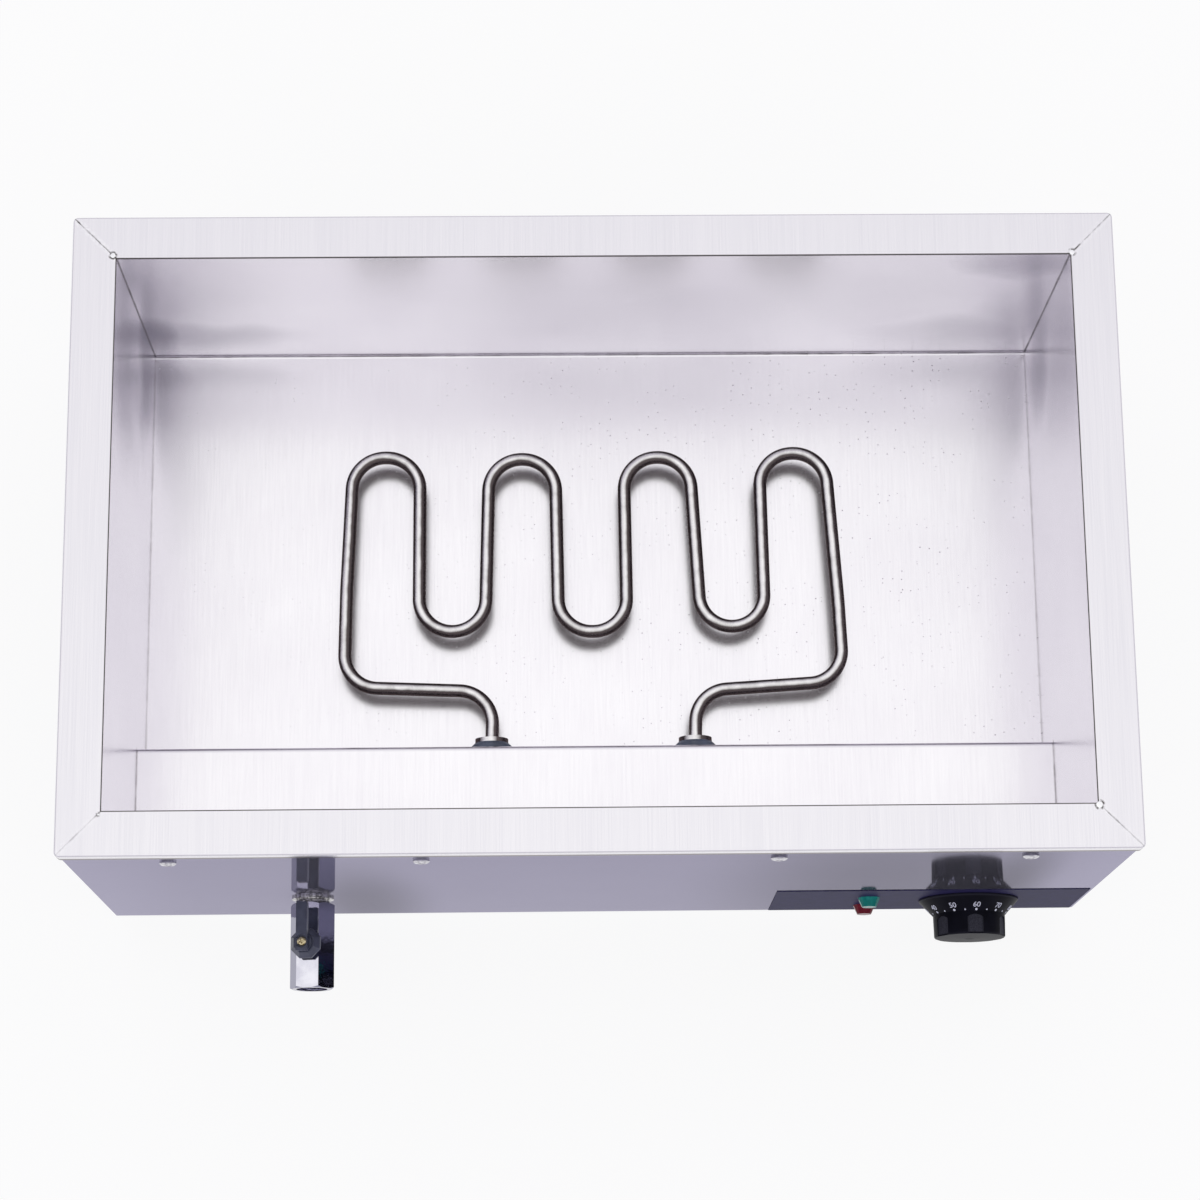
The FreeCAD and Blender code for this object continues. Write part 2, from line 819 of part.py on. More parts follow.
def valve_body():
    bar = hexagon(valve_flats, valve_start, valve_end)
    edge = valve_chamfer / math.sqrt(3)
    bar = bar.common(turned([(0, valve_start), (valve_corner - valve_chamfer, valve_start),
                             (valve_corner, valve_start + edge), (valve_corner, valve_end - edge),
                             (valve_corner - valve_chamfer, valve_end), (0, valve_end)]))
    tower = across(disc(stem_tower, 0, stem_tower_top))
    socket = disc(nipple_radius + thread_play, valve_start, cavity_start())
    cavity = disc(ball_radius + cavity_play, cavity_start(), cavity_end())
    way = disc(drain_bore, valve_start, valve_end)
    outlet = disc(outlet_radius, valve_end - outlet_depth, valve_end)
    bore = across(disc(stem_radius + stem_play, 0, stem_tower_top))
    collar_seat = across(disc(stem_collar + stem_collar_play, 0, collar_top() + stem_collar_play))
    return on_valve(bar.fuse(tower).cut([socket, cavity, way, outlet, bore, collar_seat] + grooves()))


def collar_top():
    return ball_radius + cavity_play + stem_collar_height


def grooves():
    """Room for the two packing rings round the stem."""
    reach = stem_radius + stem_play + seal_width
    return [across(disc(reach, y, y + seal_height)) for y in seal_starts]


def valve_retainer():
    end = cavity_start()
    return on_valve(ring(nipple_radius, ball_bore, end - retainer_length, end))


def valve_seats():
    seat = ring(ball_radius + seat_gap, seat_bore, seat_inner, stem_reach - cavity_start())
    seat = seat.cut(Part.makeSphere(ball_radius + seat_gap))
    outlet_seat = seat.copy()
    outlet_seat.translate(V(0, 0, stem_reach))
    inlet_seat = seat.copy()
    inlet_seat.rotate(V(), V(1, 0, 0), 180)
    inlet_seat.translate(V(0, 0, stem_reach))
    return group([on_valve(inlet_seat), on_valve(outlet_seat)])


def blade(thickness, length, low, high):
    """Flat tongue on the stem's axis, set along the flow."""
    return block(-thickness / 2, thickness / 2, low, high, stem_reach - length / 2,
                 stem_reach + length / 2)


def valve_ball():
    ball = Part.makeSphere(ball_radius, V(0, 0, stem_reach))
    way = disc(ball_bore, 0, valve_end)
    slot = blade(stem_blade + 2 * slot_play, 3 * ball_radius, ball_radius - slot_depth, ball_radius + over)
    return on_valve(ball.cut([way, slot]))


def valve_stem():
    foot_end = ball_radius + cavity_play
    body = across(disc(stem_radius, foot_end, stem_head()))
    collar = across(disc(stem_collar, foot_end, collar_top()))
    tongue = blade(stem_blade, 2 * stem_radius, ball_radius - slot_depth + slot_play, foot_end)
    drilling = across(disc(lever_screw_shank + stem_play, stem_head() - lever_screw_length, stem_head()))
    return on_valve(body.fuse([collar, tongue]).cut(drilling))


def stem_head():
    """Height of the stem's end, just under the floor of the lever's pocket."""
    return lever_top - lever_pocket_depth - hub_web


def stem_seals():
    inner = stem_radius + stem_play
    seals = [ring(inner + seal_width, inner, y, y + seal_height) for y in seal_starts]
    return group([on_valve(across(seal)) for seal in seals])


def hub_start():
    return stem_tower_top + hub_lift


def valve_lever():
    """Lever arm on a faceted hub that drops over the stem's end."""
    skirt_top = hub_start() + hub_skirt
    skirt = faceted_cone(hub_sides, hub_radius, hub_start(), hub_radius, skirt_top)
    hub = faceted_cone(hub_sides, hub_radius, skirt_top, hub_top_radius, hub_start() + hub_height)
    arm = block(-lever_width / 2, lever_width / 2, -lever_front, lever_back,
                lever_top - lever_height, lever_top)
    arm = arm.makeFillet(lever_tip, [e for e in arm.Edges
                                     if is_upright(e) and e.BoundBox.YMax > lever_back - near])
    neck = disc(lever_neck, hub_start() + hub_height, lever_top - lever_height)
    socket = disc(stem_radius + stem_head_play, hub_start(), stem_head() + stem_head_play)
    pocket = disc(lever_pocket, lever_top - lever_pocket_depth, lever_top)
    hole = disc(lever_screw_shank + screw_play, hub_start(), lever_top)
    return on_valve(across(hub.fuse([skirt, arm, neck]).cut([socket, pocket, hole])))


def lever_screw():
    piece = screw(lever_screw_head, lever_screw_rise, lever_screw_shank, lever_screw_length)
    piece.translate(V(0, 0, lever_top - lever_pocket_depth))
    return on_valve(across(piece))


# ---- control panel -----------------------------------------------------------------------------
def control_label():
    face = block(label_end - label_length, label_end, -label_sheet, 0, label_z, label_z + label_height)
    holes = [cross_hole(shaft_hole, knob_x, knob_z)]
    holes += [cross_hole(thermostat_screw_head + hole_play, knob_x + side * thermostat_screw_x, knob_z)
              for side in (-1, 1)]
    holes += [cross_hole(lamp_barrel + lamp_hole_play, lamp_x, z) for z in (green_z, red_z)]
    label = face.cut(holes)
    label.translate(V(0, front_y, 0))
    return label


def flute_cutter():
    """Finger recess from the grip's front down to an arched end near the skirt."""
    low = cone_height + flute_land
    half = flute_width / 2
    floor = grip_radius - flute_depth
    corner_a = V(-half, floor, low + flute_arch)
    corner_b = V(half, floor, low + flute_arch)
    high = grip_height + grip_crown + over
    outline = [Part.Arc(corner_a, V(0, floor, low), corner_b).toShape(),
               Part.LineSegment(corner_b, V(half, floor, high)).toShape(),
               Part.LineSegment(V(half, floor, high), V(-half, floor, high)).toShape(),
               Part.LineSegment(V(-half, floor, high), corner_a).toShape()]
    return Part.Face(Part.Wire(outline)).extrude(V(0, 3 * flute_depth, 0))


def knob_hollow():
    """Space under the skirt and round the hub."""
    throat = grip_front_radius - knob_wall
    return turned([(knob_hub, knob_hub_lift), (knob_hub, grip_height - knob_wall),
                   (throat, grip_height - knob_wall), (throat, cone_height - knob_wall),
                   (skirt_radius - knob_wall, 0), (0, 0), (0, knob_hub_lift)])


def control_knob():
    body = turned([(0, 0), (skirt_radius, 0), (skirt_radius, skirt_edge), (cone_radius, cone_height),
                   (grip_radius, cone_height), (grip_front_radius, grip_height),
                   (grip_front_radius - grip_edge, grip_height + grip_edge),
                   (0, grip_height + grip_crown)])
    cutters = [knob_hollow(), shaft_socket()]
    for k in range(flute_count):
        flute = flute_cutter()
        flute.rotate(V(), UP, -flute_first + k * 360 / flute_count)
        cutters.append(flute)
    knob = body.cut(cutters)
    knob.translate(V(0, 0, label_sheet + knob_gap))
    return outward(knob, knob_x, knob_z)


def shaft_form(radius, low, high, flat_from):
    """Round bar with a flat on its lower side from a given height."""
    bar = disc(radius, low, high)
    flat = block(-radius, radius, -radius - over, -shaft_flat - (radius - shaft_radius), flat_from, high)
    return bar.cut(flat)


def shaft_socket():
    """The D-shaped hole of the knob, measured from the skirt's back."""
    tip = shaft_reach - label_sheet - knob_gap
    return shaft_form(shaft_radius + shaft_play, 0, tip + shaft_play, 0)


def thermostat_shaft():
    root = -panel_sheet - bracket_sheet - shaft_root
    return outward(shaft_form(shaft_radius, root, shaft_reach, label_sheet), knob_x, knob_z)


def thermostat_bracket():
    back = -panel_sheet
    plate = block(-bracket_half_width, bracket_half_width, -bracket_half_height, bracket_half_height,
                  back - bracket_sheet, back)
    holes = [disc(shaft_radius + hole_play, back - bracket_sheet, back)]
    holes += [disc(thermostat_screw_shank + screw_play, back - bracket_sheet, back,
                   side * thermostat_screw_x) for side in (-1, 1)]
    return outward(plate.cut(holes), knob_x, knob_z)


def thermostat_front():
    """Thermostat's front face, along the outward axis."""
    return -panel_sheet - bracket_sheet


def thermostat_body():
    front = thermostat_front()
    case = block(-thermostat_half_width, thermostat_half_width, -thermostat_half_height,
                 thermostat_half_height, front - thermostat_depth, front)
    case = case.makeFillet(thermostat_corner, [e for e in case.Edges if is_upright(e)])
    tabs = [block(x - tab_half, x + tab_half, -tab_width / 2, tab_width / 2,
                  front - thermostat_depth - tab_length, front - thermostat_depth)
            for x in (-tab_x, tab_x)]
    bore = disc(shaft_radius + shaft_play, front - shaft_root - shaft_play, front)
    return outward(case.fuse(tabs).cut(bore), knob_x, knob_z)


def thermostat_screws():
    piece = screw(thermostat_screw_head, thermostat_screw_rise, thermostat_screw_shank,
                  thermostat_screw_length)
    return group([outward(piece, knob_x + side * thermostat_screw_x, knob_z) for side in (-1, 1)])


def bulb_z():
    return floor_z - sheet - bulb_radius


def bulb_start():
    return step_back_y + bulb_from_step


def thermostat_bulb():
    return Part.makeCylinder(bulb_radius, bulb_length, V(bulb_x, bulb_start(), bulb_z()), V(0, 1, 0))


def thermostat_capillary():
    """Copper capillary from the thermostat's side to the bulb under the tank."""
    y = front_y - thermostat_front() + thermostat_depth / 2
    turn_y = y + capillary_run
    points = [V(knob_x - thermostat_half_width, y, knob_z), V(bulb_x, y, knob_z),
              V(bulb_x, turn_y, bulb_z()), V(bulb_x, bulb_start(), bulb_z())]
    return bent_rod(points, capillary_bend, capillary_radius)


def bulb_clip():
    """Saddle that holds the bulb against the underside of the tank."""
    inner = bulb_radius + thread_play
    outer = inner + clip_sheet
    under = floor_z - sheet
    y = bulb_start() + (bulb_length - clip_width) / 2
    saddle = Part.makeCylinder(outer, clip_width, V(bulb_x, y, bulb_z()), V(0, 1, 0))
    saddle = saddle.common(block(bulb_x - outer, bulb_x + outer, y, y + clip_width,
                                 bulb_z() - outer, bulb_z()))
    cheeks = block(bulb_x - outer, bulb_x + outer, y, y + clip_width, bulb_z(), under)
    feet = block(bulb_x - outer - clip_foot, bulb_x + outer + clip_foot, y, y + clip_width,
                 under - clip_sheet, under)
    room = Part.makeCylinder(inner, clip_width, V(bulb_x, y, bulb_z()), V(0, 1, 0))
    throat = block(bulb_x - inner, bulb_x + inner, y, y + clip_width, bulb_z(), under)
    return saddle.fuse([cheeks, feet]).cut([room, throat])


# ---- signal lamps ------------------------------------------------------------------------------
def lamp_lens(z):
    """Faceted lens that narrows outwards."""
    lens = faceted_cone(lamp_facets, lamp_base, label_sheet, lamp_nose, label_sheet + lamp_rise)
    return outward(lens, lamp_x, z)


def lamp_body(z):
    return outward(disc(lamp_barrel, label_sheet - lamp_barrel_length, label_sheet), lamp_x, z)


def lamp_clips():
    back = -panel_sheet
    clip = ring(lamp_clip_radius, lamp_barrel + thread_play, back - lamp_clip_height, back)
    return group([outward(clip, lamp_x, z) for z in (green_z, red_z)])


# ---- terminal block, earth stud, cable gland ---------------------------------------------------
def block_y():
    return front_y + block_from_panel


def block_screw_xs():
    reach = block_half_length - block_screw_inset
    return (block_x - reach, block_x + reach)


def terminal_block():
    y = block_y()
    body = block(block_x - block_half_length, block_x + block_half_length, y - block_half_width,
                 y + block_half_width, panel_z, panel_z + block_height)
    first = -(block_ways - 1) / 2
    ways = [Part.makeCylinder(block_way_radius, 2 * block_half_width,
                              V(block_x + (first + k) * block_way_pitch, y - block_half_width,
                                panel_z + block_height / 2), V(0, 1, 0)) for k in range(block_ways)]
    holes = [disc(block_screw_shank + screw_play, panel_z, panel_z + block_height, x, y)
             for x in block_screw_xs()]
    return body.cut(ways + holes)


def terminal_block_screws():
    screws = []
    for x in block_screw_xs():
        piece = screw(block_screw_head, block_screw_rise, block_screw_shank,
                      block_height + base_sheet + block_screw_over)
        piece.translate(V(x, block_y(), panel_z + block_height))
        screws.append(piece)
    return group(screws)


def earth_stud():
    return disc(earth_radius, panel_z, panel_z + earth_height, earth_x, block_y())


def earth_nut():
    piece = nut(earth_nut_flats, earth_radius + thread_play, panel_z + earth_nut_height,
                panel_z + 2 * earth_nut_height)
    piece.translate(V(earth_x, block_y(), 0))
    return piece


def cable_gland():
    """Hex flange and dome outside the back panel, thread through it, clear bore for a lead."""
    dome = turned([(0, gland_hex), (gland_dome, gland_hex), (gland_dome, gland_hex + gland_straight),
                   (gland_bore + gland_lip, gland_reach), (0, gland_reach)])
    body = hexagon(gland_flats, 0, gland_hex).fuse([dome, disc(gland_thread, -gland_thread_length, 0)])
    body = body.cut(disc(gland_bore, -gland_thread_length, gland_reach))
    return backward(body.removeSplitter(), gland_x, gland_z)


def cable_gland_nut():
    back = -panel_sheet
    piece = nut(gland_nut_flats, gland_thread + thread_play, back - gland_nut_height, back)
    return backward(piece, gland_x, gland_z)


# ---- export ------------------------------------------------------------------------------------
def all_parts():
    parts = rim_members()
    parts["water_tank"] = water_tank()
    parts["front_panel"] = front_panel()
    parts["back_panel"] = back_panel()
    parts["right_panel"] = side_panel()
    parts["left_panel"] = mirrored(side_panel())
    parts["base_plate"] = base_plate()
    parts["front_fixing_angle"] = front_fixing_angle()
    parts["back_fixing_angle"] = back_fixing_angle()
    parts["front_rim_screws"] = front_rim_screws()
    parts["back_rim_screws"] = back_rim_screws()
    parts["base_screws"] = base_screws()
    for place, (x, y) in foot_places().items():
        parts["foot_" + place] = foot(x, y)
    parts["foot_screws"] = foot_screws()
    parts["foot_nuts"] = foot_nuts()
    parts["heating_element"] = heating_element()
    parts["element_bush_left"] = element_bush(terminal_x()[0])
    parts["element_bush_right"] = element_bush(terminal_x()[1])
    parts["element_gaskets"] = element_gaskets()
    parts["element_lock_nuts"] = element_lock_nuts()
    parts["terminal_insulators"] = terminal_insulators()
    parts["terminal_pins"] = terminal_pins()
    parts["drain_nipple"] = drain_nipple()
    parts["drain_washer"] = drain_washer()
    parts["drain_lock_nut"] = drain_lock_nut()
    parts["valve_body"] = valve_body()
    parts["valve_retainer"] = valve_retainer()
    parts["valve_seats"] = valve_seats()
    parts["valve_ball"] = valve_ball()
    parts["valve_stem"] = valve_stem()
    parts["stem_seals"] = stem_seals()
    parts["valve_lever"] = valve_lever()
    parts["lever_screw"] = lever_screw()
    parts["control_label"] = control_label()
    parts["control_knob"] = control_knob()
    parts["thermostat_shaft"] = thermostat_shaft()
    parts["thermostat_bracket"] = thermostat_bracket()
    parts["thermostat_body"] = thermostat_body()
    parts["thermostat_screws"] = thermostat_screws()
    parts["thermostat_capillary"] = thermostat_capillary()
    parts["thermostat_bulb"] = thermostat_bulb()
    parts["bulb_clip"] = bulb_clip()
    parts["green_lamp_lens"] = lamp_lens(green_z)
    parts["green_lamp_body"] = lamp_body(green_z)
    parts["red_lamp_lens"] = lamp_lens(red_z)
    parts["red_lamp_body"] = lamp_body(red_z)
    parts["lamp_clips"] = lamp_clips()
    parts["terminal_block"] = terminal_block()
    parts["terminal_block_screws"] = terminal_block_screws()
    parts["earth_stud"] = earth_stud()
    parts["earth_nut"] = earth_nut()
    parts["cable_gland"] = cable_gland()
    parts["cable_gland_nut"] = cable_gland_nut()
    return parts


os.makedirs(PARTS, exist_ok=True)
for name, shape in all_parts().items():
    shape.exportStep(os.path.join(PARTS, name + ".step"))
    print(name, "solids", len(shape.Solids), "volume", round(shape.Volume, 1), "valid", shape.isValid())
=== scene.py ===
import json
import math
from functools import partial
import bmesh
import bpy
from mathutils import Matrix, Vector


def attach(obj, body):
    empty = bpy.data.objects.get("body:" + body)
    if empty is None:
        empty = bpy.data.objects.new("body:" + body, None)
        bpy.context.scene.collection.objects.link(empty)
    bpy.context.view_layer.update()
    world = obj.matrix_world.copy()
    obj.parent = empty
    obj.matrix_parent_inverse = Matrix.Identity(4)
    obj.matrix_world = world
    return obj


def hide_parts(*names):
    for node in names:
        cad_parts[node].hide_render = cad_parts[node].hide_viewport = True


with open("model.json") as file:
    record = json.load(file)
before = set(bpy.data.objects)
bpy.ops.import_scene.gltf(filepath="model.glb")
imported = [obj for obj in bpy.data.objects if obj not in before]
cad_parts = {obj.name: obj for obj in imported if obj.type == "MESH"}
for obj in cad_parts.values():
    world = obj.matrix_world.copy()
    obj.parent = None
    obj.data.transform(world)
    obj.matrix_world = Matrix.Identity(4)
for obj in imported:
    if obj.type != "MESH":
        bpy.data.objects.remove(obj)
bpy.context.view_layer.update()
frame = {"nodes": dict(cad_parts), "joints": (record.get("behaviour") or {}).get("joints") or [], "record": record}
nodes = frame["nodes"]
mm = 0.001
print("frame: %d nodes" % len(nodes))


def jointPlace(name):  # a joint's point in mm, and the direction of its axis
    joint = next(j for j in frame["joints"] if j["name"] == name)
    return [round(c / mm, 3) for c in joint["pos_m"]], joint["axis"]


dialPlace = jointPlace("dial_turn")[0]
drainPlace, leverAxis = jointPlace("drain_lever_turn")


def linear(hexColour):  # an sRGB hex value as the linear colour Blender works in
    parts = [int(hexColour[i:i + 2], 16) / 255 for i in (1, 3, 5)]
    return [c / 12.92 if c <= 0.04045 else ((c + 0.055) / 1.055) ** 2.4 for c in parts] + [1.0]


def addNode(tree, kind, inputs=(), **settings):  # inputs by name or in order; gives back the output in use
    node = tree.nodes.new("ShaderNode" + kind)
    for name, value in settings.items():
        setattr(node, name, value)
    free = [socket for socket in node.inputs if socket.enabled]
    for key, value in inputs.items() if isinstance(inputs, dict) else enumerate(inputs):
        socket = free[key] if isinstance(key, int) else next(s for s in free if s.name == key)
        if isinstance(value, bpy.types.NodeSocket):
            tree.links.new(value, socket)
        elif isinstance(value, str):
            socket.default_value = linear(value)
        else:
            socket.default_value = value
    return next((s for s in node.outputs if s.enabled), None)


def startMaterial(name):  # the material, addNode for its own tree, and the place on the object in metres
    material = bpy.data.materials.new(name)
    material.use_nodes = True
    material.node_tree.nodes.clear()
    put = partial(addNode, material.node_tree)
    return material, put, put("TexCoord").node.outputs["Object"]


def finishMaterial(material, put, colour, roughness, height, depth, **constants):  # depth of the relief in mm
    bump = put("Bump", {"Strength": 1.0, "Distance": depth * mm, "Height": height})
    surface = {"Base Color": colour, "Roughness": roughness, "Normal": bump}
    surface.update({key.replace("_", " "): value for key, value in constants.items()})
    put("OutputMaterial", [put("BsdfPrincipled", surface)])
    return material


def brushLines(put, place, gap, length, direction="Y"):  # long thin lines along one axis, sizes in mm
    counts = [1000 / gap] * 3
    counts["XYZ".index(direction)] = 1000 / length
    return put("TexNoise", [put("Mapping", {"Vector": place, "Scale": counts}), 1.0, 3.0, 0.6])


def distanceFrom(put, place, centre, weights):  # from a centre in mm, each axis counted by its weight
    away = put("VectorMath", [place, [c * mm for c in centre]], operation="SUBTRACT")
    away = put("VectorMath", [away, weights], operation="MULTIPLY")
    return put("VectorMath", [away], operation="LENGTH").node.outputs["Value"]


def softClouds(put, place, clouds, edge):  # rows of centre and reach in mm and strength; the strongest wins
    cover = 0.0
    for centre, reach, strength in clouds:
        away = distanceFrom(put, place, centre, [1000 / r for r in reach])
        cloud = put("MapRange", [away, 0.1, edge, strength, 0], interpolation_type="SMOOTHSTEP")
        cover = put("Math", [cover, cloud], operation="MAXIMUM")
    return cover


# 201 stainless sheet with a satin belt finish, so the rim is pale with fine soft lines front to back. The
# belt's own lines are 0.1 mm apart and are drawn 0.6 mm apart to show. Each mitre weld is a ragged dark
# line with pale ground metal beside it and a bead at its foot, drawn with a painted highlight on top and a
# ring of painted shade. The lip's lower edge carries a dark line, partly its cut edge gone brown and partly
# painted shadow where it meets the panel, and its open corners are darkened with painted shade.
rimLook = {"pale": "#ECEAEE", "dark": "#E2E0E6", "lineGap": 0.6, "lineLength": 70.0, "roughness": 0.24,
           "broadGap": 16.0, "broadLength": 200.0, "halfLength": 300.0, "halfDepth": 186.0, "middleY": 19.0,
           "band": 25.5, "joint": "#4A4446", "jointWidth": 0.75, "weldDark": "#4E4A48", "weldWidth": 0.8,
           "weldRagged": 1.6, "weld": 0.32, "moreAtBack": 0.25, "moreAtBackLeft": 0.35, "ground": 4.0,
           "groundPale": "#F8F8FA", "lipEdge": "#54474C", "lipEdgeZ": (247.8, 248.4),
           "openCorner": (1.4, 2.8), "openCornerZ": (251.8, 252.8),
           "beads": (((275.4, -142.6), 2.0, 1.0), ((-276.0, -143.5), 0.6, 0.7), ((-276.5, 181.5), 1.6, 1.0),
                     ((275.5, 180.5), 1.6, 0.8))}


def weldBeads(put, place, beads, shake, line):  # a dome at the foot of each mitre, painted pale on top as a painted highlight with a ring of painted shade round it, and darker weld colour along the seam beside it
    dome, ring = 0.0, 0.0
    broken = put("MapRange", [put("TexNoise", [place, 1000 / 1.6, 2.0]), 0.42, 0.58, 0.1, 1])
    for centre, size, dark in beads:
        away = distanceFrom(put, place, (*centre, 0), (1, 1, 0))
        away = put("Math", [shake, 0.5 * size * mm, away], operation="MULTIPLY_ADD")
        bead = put("MapRange", [away, 0.2 * size * mm, size * mm, 1, 0])
        dome = put("Math", [dome, bead], operation="MAXIMUM")
        # painted shade: a dark ring round each bead, broken up by noise
        shadeRing = put("MapRange", [away, (size + 0.3) * mm, (size + 1.3) * mm, dark, 0])
        ring = put("Math", [ring, put("Math", [shadeRing, broken], operation="MULTIPLY")], operation="MAXIMUM")
        beside = put("MapRange", [away, 2 * size * mm, 10 * size * mm, dark, 0])
        ring = put("Math", [ring, put("Math", [beside, line], operation="MULTIPLY")], operation="MAXIMUM")
    return dome, ring


def satinRimSteel(look):
    material, put, place = startMaterial("satin_rim_steel")
    lines = brushLines(put, place, look["lineGap"], look["lineLength"])
    broad = brushLines(put, place, look["broadGap"], look["broadLength"])
    tone = put("Math", [put("MapRange", [lines, 0.3, 0.7, 0, 0.5]),
                        put("MapRange", [broad, 0.35, 0.65, 0, 0.2])], operation="ADD")
    steel = put("Mix", [tone, look["pale"], look["dark"]], data_type="RGBA")
    # each mitre weld runs along the line where the distances in from the side and from the end are the same
    axes = put("SeparateXYZ", [place]).node.outputs
    fromMiddle = put("Math", [axes["X"]], operation="ABSOLUTE")
    fromSide = put("Math", [look["halfLength"] * mm, fromMiddle], operation="SUBTRACT")
    middle = put("Math", [axes["Y"], look["middleY"] * mm], operation="SUBTRACT")
    fromEnd = put("Math", [look["halfDepth"] * mm, put("Math", [middle], operation="ABSOLUTE")],
                  operation="SUBTRACT")
    across = put("Math", [put("Math", [fromSide, fromEnd], operation="SUBTRACT")], operation="ABSOLUTE")
    shake = put("Math", [put("TexNoise", [place, 1000 / 2.2, 4.0]), 0.5], operation="SUBTRACT")
    ragged = put("Math", [shake, look["weldRagged"] * mm, across], operation="MULTIPLY_ADD")
    line = put("MapRange", [ragged, 0.1 * mm, look["weldWidth"] * mm, 1, 0])
    faint = put("MapRange", [put("TexNoise", [place, 1000 / 5.0, 2.0]), 0.35, 0.6, 0.2, 1])
    line = put("Math", [line, faint], operation="MULTIPLY")
    # the back left weld is the roughest, the front ones the neatest
    atBack = put("Math", [middle, 0.0], operation="GREATER_THAN")
    atLeft = put("Math", [axes["X"], 0.0], operation="LESS_THAN")
    atBackLeft = put("Math", [atBack, atLeft], operation="MULTIPLY")
    rough = put("Math", [atBack, look["moreAtBack"], look["weld"]], operation="MULTIPLY_ADD")
    rough = put("Math", [atBackLeft, look["moreAtBackLeft"], rough], operation="MULTIPLY_ADD")
    seam = put("Math", [line, rough], operation="MULTIPLY")
    ground = put("MapRange", [across, 0.6 * mm, look["ground"] * mm, 1, 0])
    ground = put("Math", [ground, rough], operation="MULTIPLY")
    patchy = put("MapRange", [put("TexNoise", [place, 1000 / 1.5, 2.0]), 0.4, 0.7, 0, 1])
    ground = put("Math", [ground, patchy], operation="MULTIPLY")
    steel = put("Mix", [ground, steel, look["groundPale"]], data_type="RGBA")
    steel = put("Mix", [seam, steel, look["weldDark"]], data_type="RGBA")
    # the joint between the rim and the tank is drawn as a dark line
    inner = put("Math", [fromSide, fromEnd], operation="MINIMUM")
    inner = put("Math", [look["band"] * mm, inner], operation="SUBTRACT")
    joint = put("MapRange", [inner, 0.5 * look["jointWidth"] * mm, look["jointWidth"] * mm, 1, 0])
    steel = put("Mix", [joint, steel, look["joint"]], data_type="RGBA")
    # the lip's lower edge is darkened, partly its cut edge gone dark and partly painted shadow where it meets the
    # panel; its open corners are darkened with painted shade
    lip = put("MapRange", [axes["Z"], *(z * mm for z in look["lipEdgeZ"]), 1, 0])
    corner = put("MapRange", [put("Math", [fromSide, fromEnd], operation="ADD"),
                              *(d * mm for d in look["openCorner"]), 1, 0])
    below = put("MapRange", [axes["Z"], *(z * mm for z in look["openCornerZ"]), 1, 0])
    corner = put("Math", [corner, below], operation="MULTIPLY")
    edge = put("Math", [lip, corner], operation="MAXIMUM")
    steel = put("Mix", [edge, steel, look["lipEdge"]], data_type="RGBA")
    dome, ring = weldBeads(put, place, look["beads"], shake, line)
    steel = put("Mix", [ring, steel, look["weldDark"]], data_type="RGBA")
    # painted highlight: the bead's top is painted pale
    top = put("MapRange", [dome, 0.0, 0.25, 0, 1])
    colour = put("Mix", [top, steel, look["groundPale"]], data_type="RGBA")
    roughness = put("Math", [lines, 0.1, look["roughness"] - 0.05], operation="MULTIPLY_ADD")
    roughness = put("Math", [seam, 0.25, roughness], operation="MULTIPLY_ADD")
    sunk = put("Math", [seam, -1.0], operation="MULTIPLY")
    height = put("Math", [lines, 0.3, sunk], operation="MULTIPLY_ADD")
    height = put("Math", [dome, 9.0, height], operation="MULTIPLY_ADD")
    return finishMaterial(material, put, colour, roughness, height, 0.012, Metallic=1.0)


# 1 mm 201 stainless, cold rolled and lightly brushed, folded and welded into the tank. It gives a soft,
# cloudy mirror: pale where it faces up, with thin brown lines of painted shade in the folds, violet clouds of
# painted shade near the back corners, and specks of dried water on the floor.
tankLook = {"pale": "#F7F5F8", "dark": "#EDEAEF", "lineGap": 1.1, "lineLength": 35.0, "cloud": 90.0,
            "roughness": 0.2, "halfLength": 274.5, "backY": 179.5, "frontY": -141.5, "stepY": -79.5,
            "floorZ": 76.0, "shelfZ": 116.0, "fold": "#4A4142", "foldWidth": 1.0, "foldRagged": 0.8,
            "folds": (("back", "floor", 1.0), ("step", "shelf", 1.0), ("step", "floor", 0.8),
                      ("side", "back", 0.7), ("side", "floor", 0.3), ("side", "front", 0.6),
                      ("front", "shelf", 0.6), ("side", "ledge", 0.5)),
            "tint": "#F7F6F9", "mark": "#A29CA6", "markGap": 6.0, "patch": "#4E4763",
            "drift": (40, 40, 50), "driftSize": 70.0,
            "clouds": (((-246, 179, 116), (58, 40, 26), 0.38), ((-262, 179, 185), (70, 40, 80), 0.22),
                       ((30, 179, 165), (130, 30, 90), 0.17), ((160, 179, 190), (100, 30, 70), 0.13),
                       ((235, 179, 124), (75, 30, 38), 0.27), ((272, 179, 150), (40, 30, 70), 0.26),
                       ((255, 179, 240), (50, 30, 24), 0.36), ((-276, 155, 118), (25, 50, 34), 0.75),
                       ((-276, 140, 200), (25, 60, 80), 0.62), ((276, 155, 130), (25, 40, 45), 0.58),
                       ((276, 135, 205), (25, 60, 80), 0.3))}


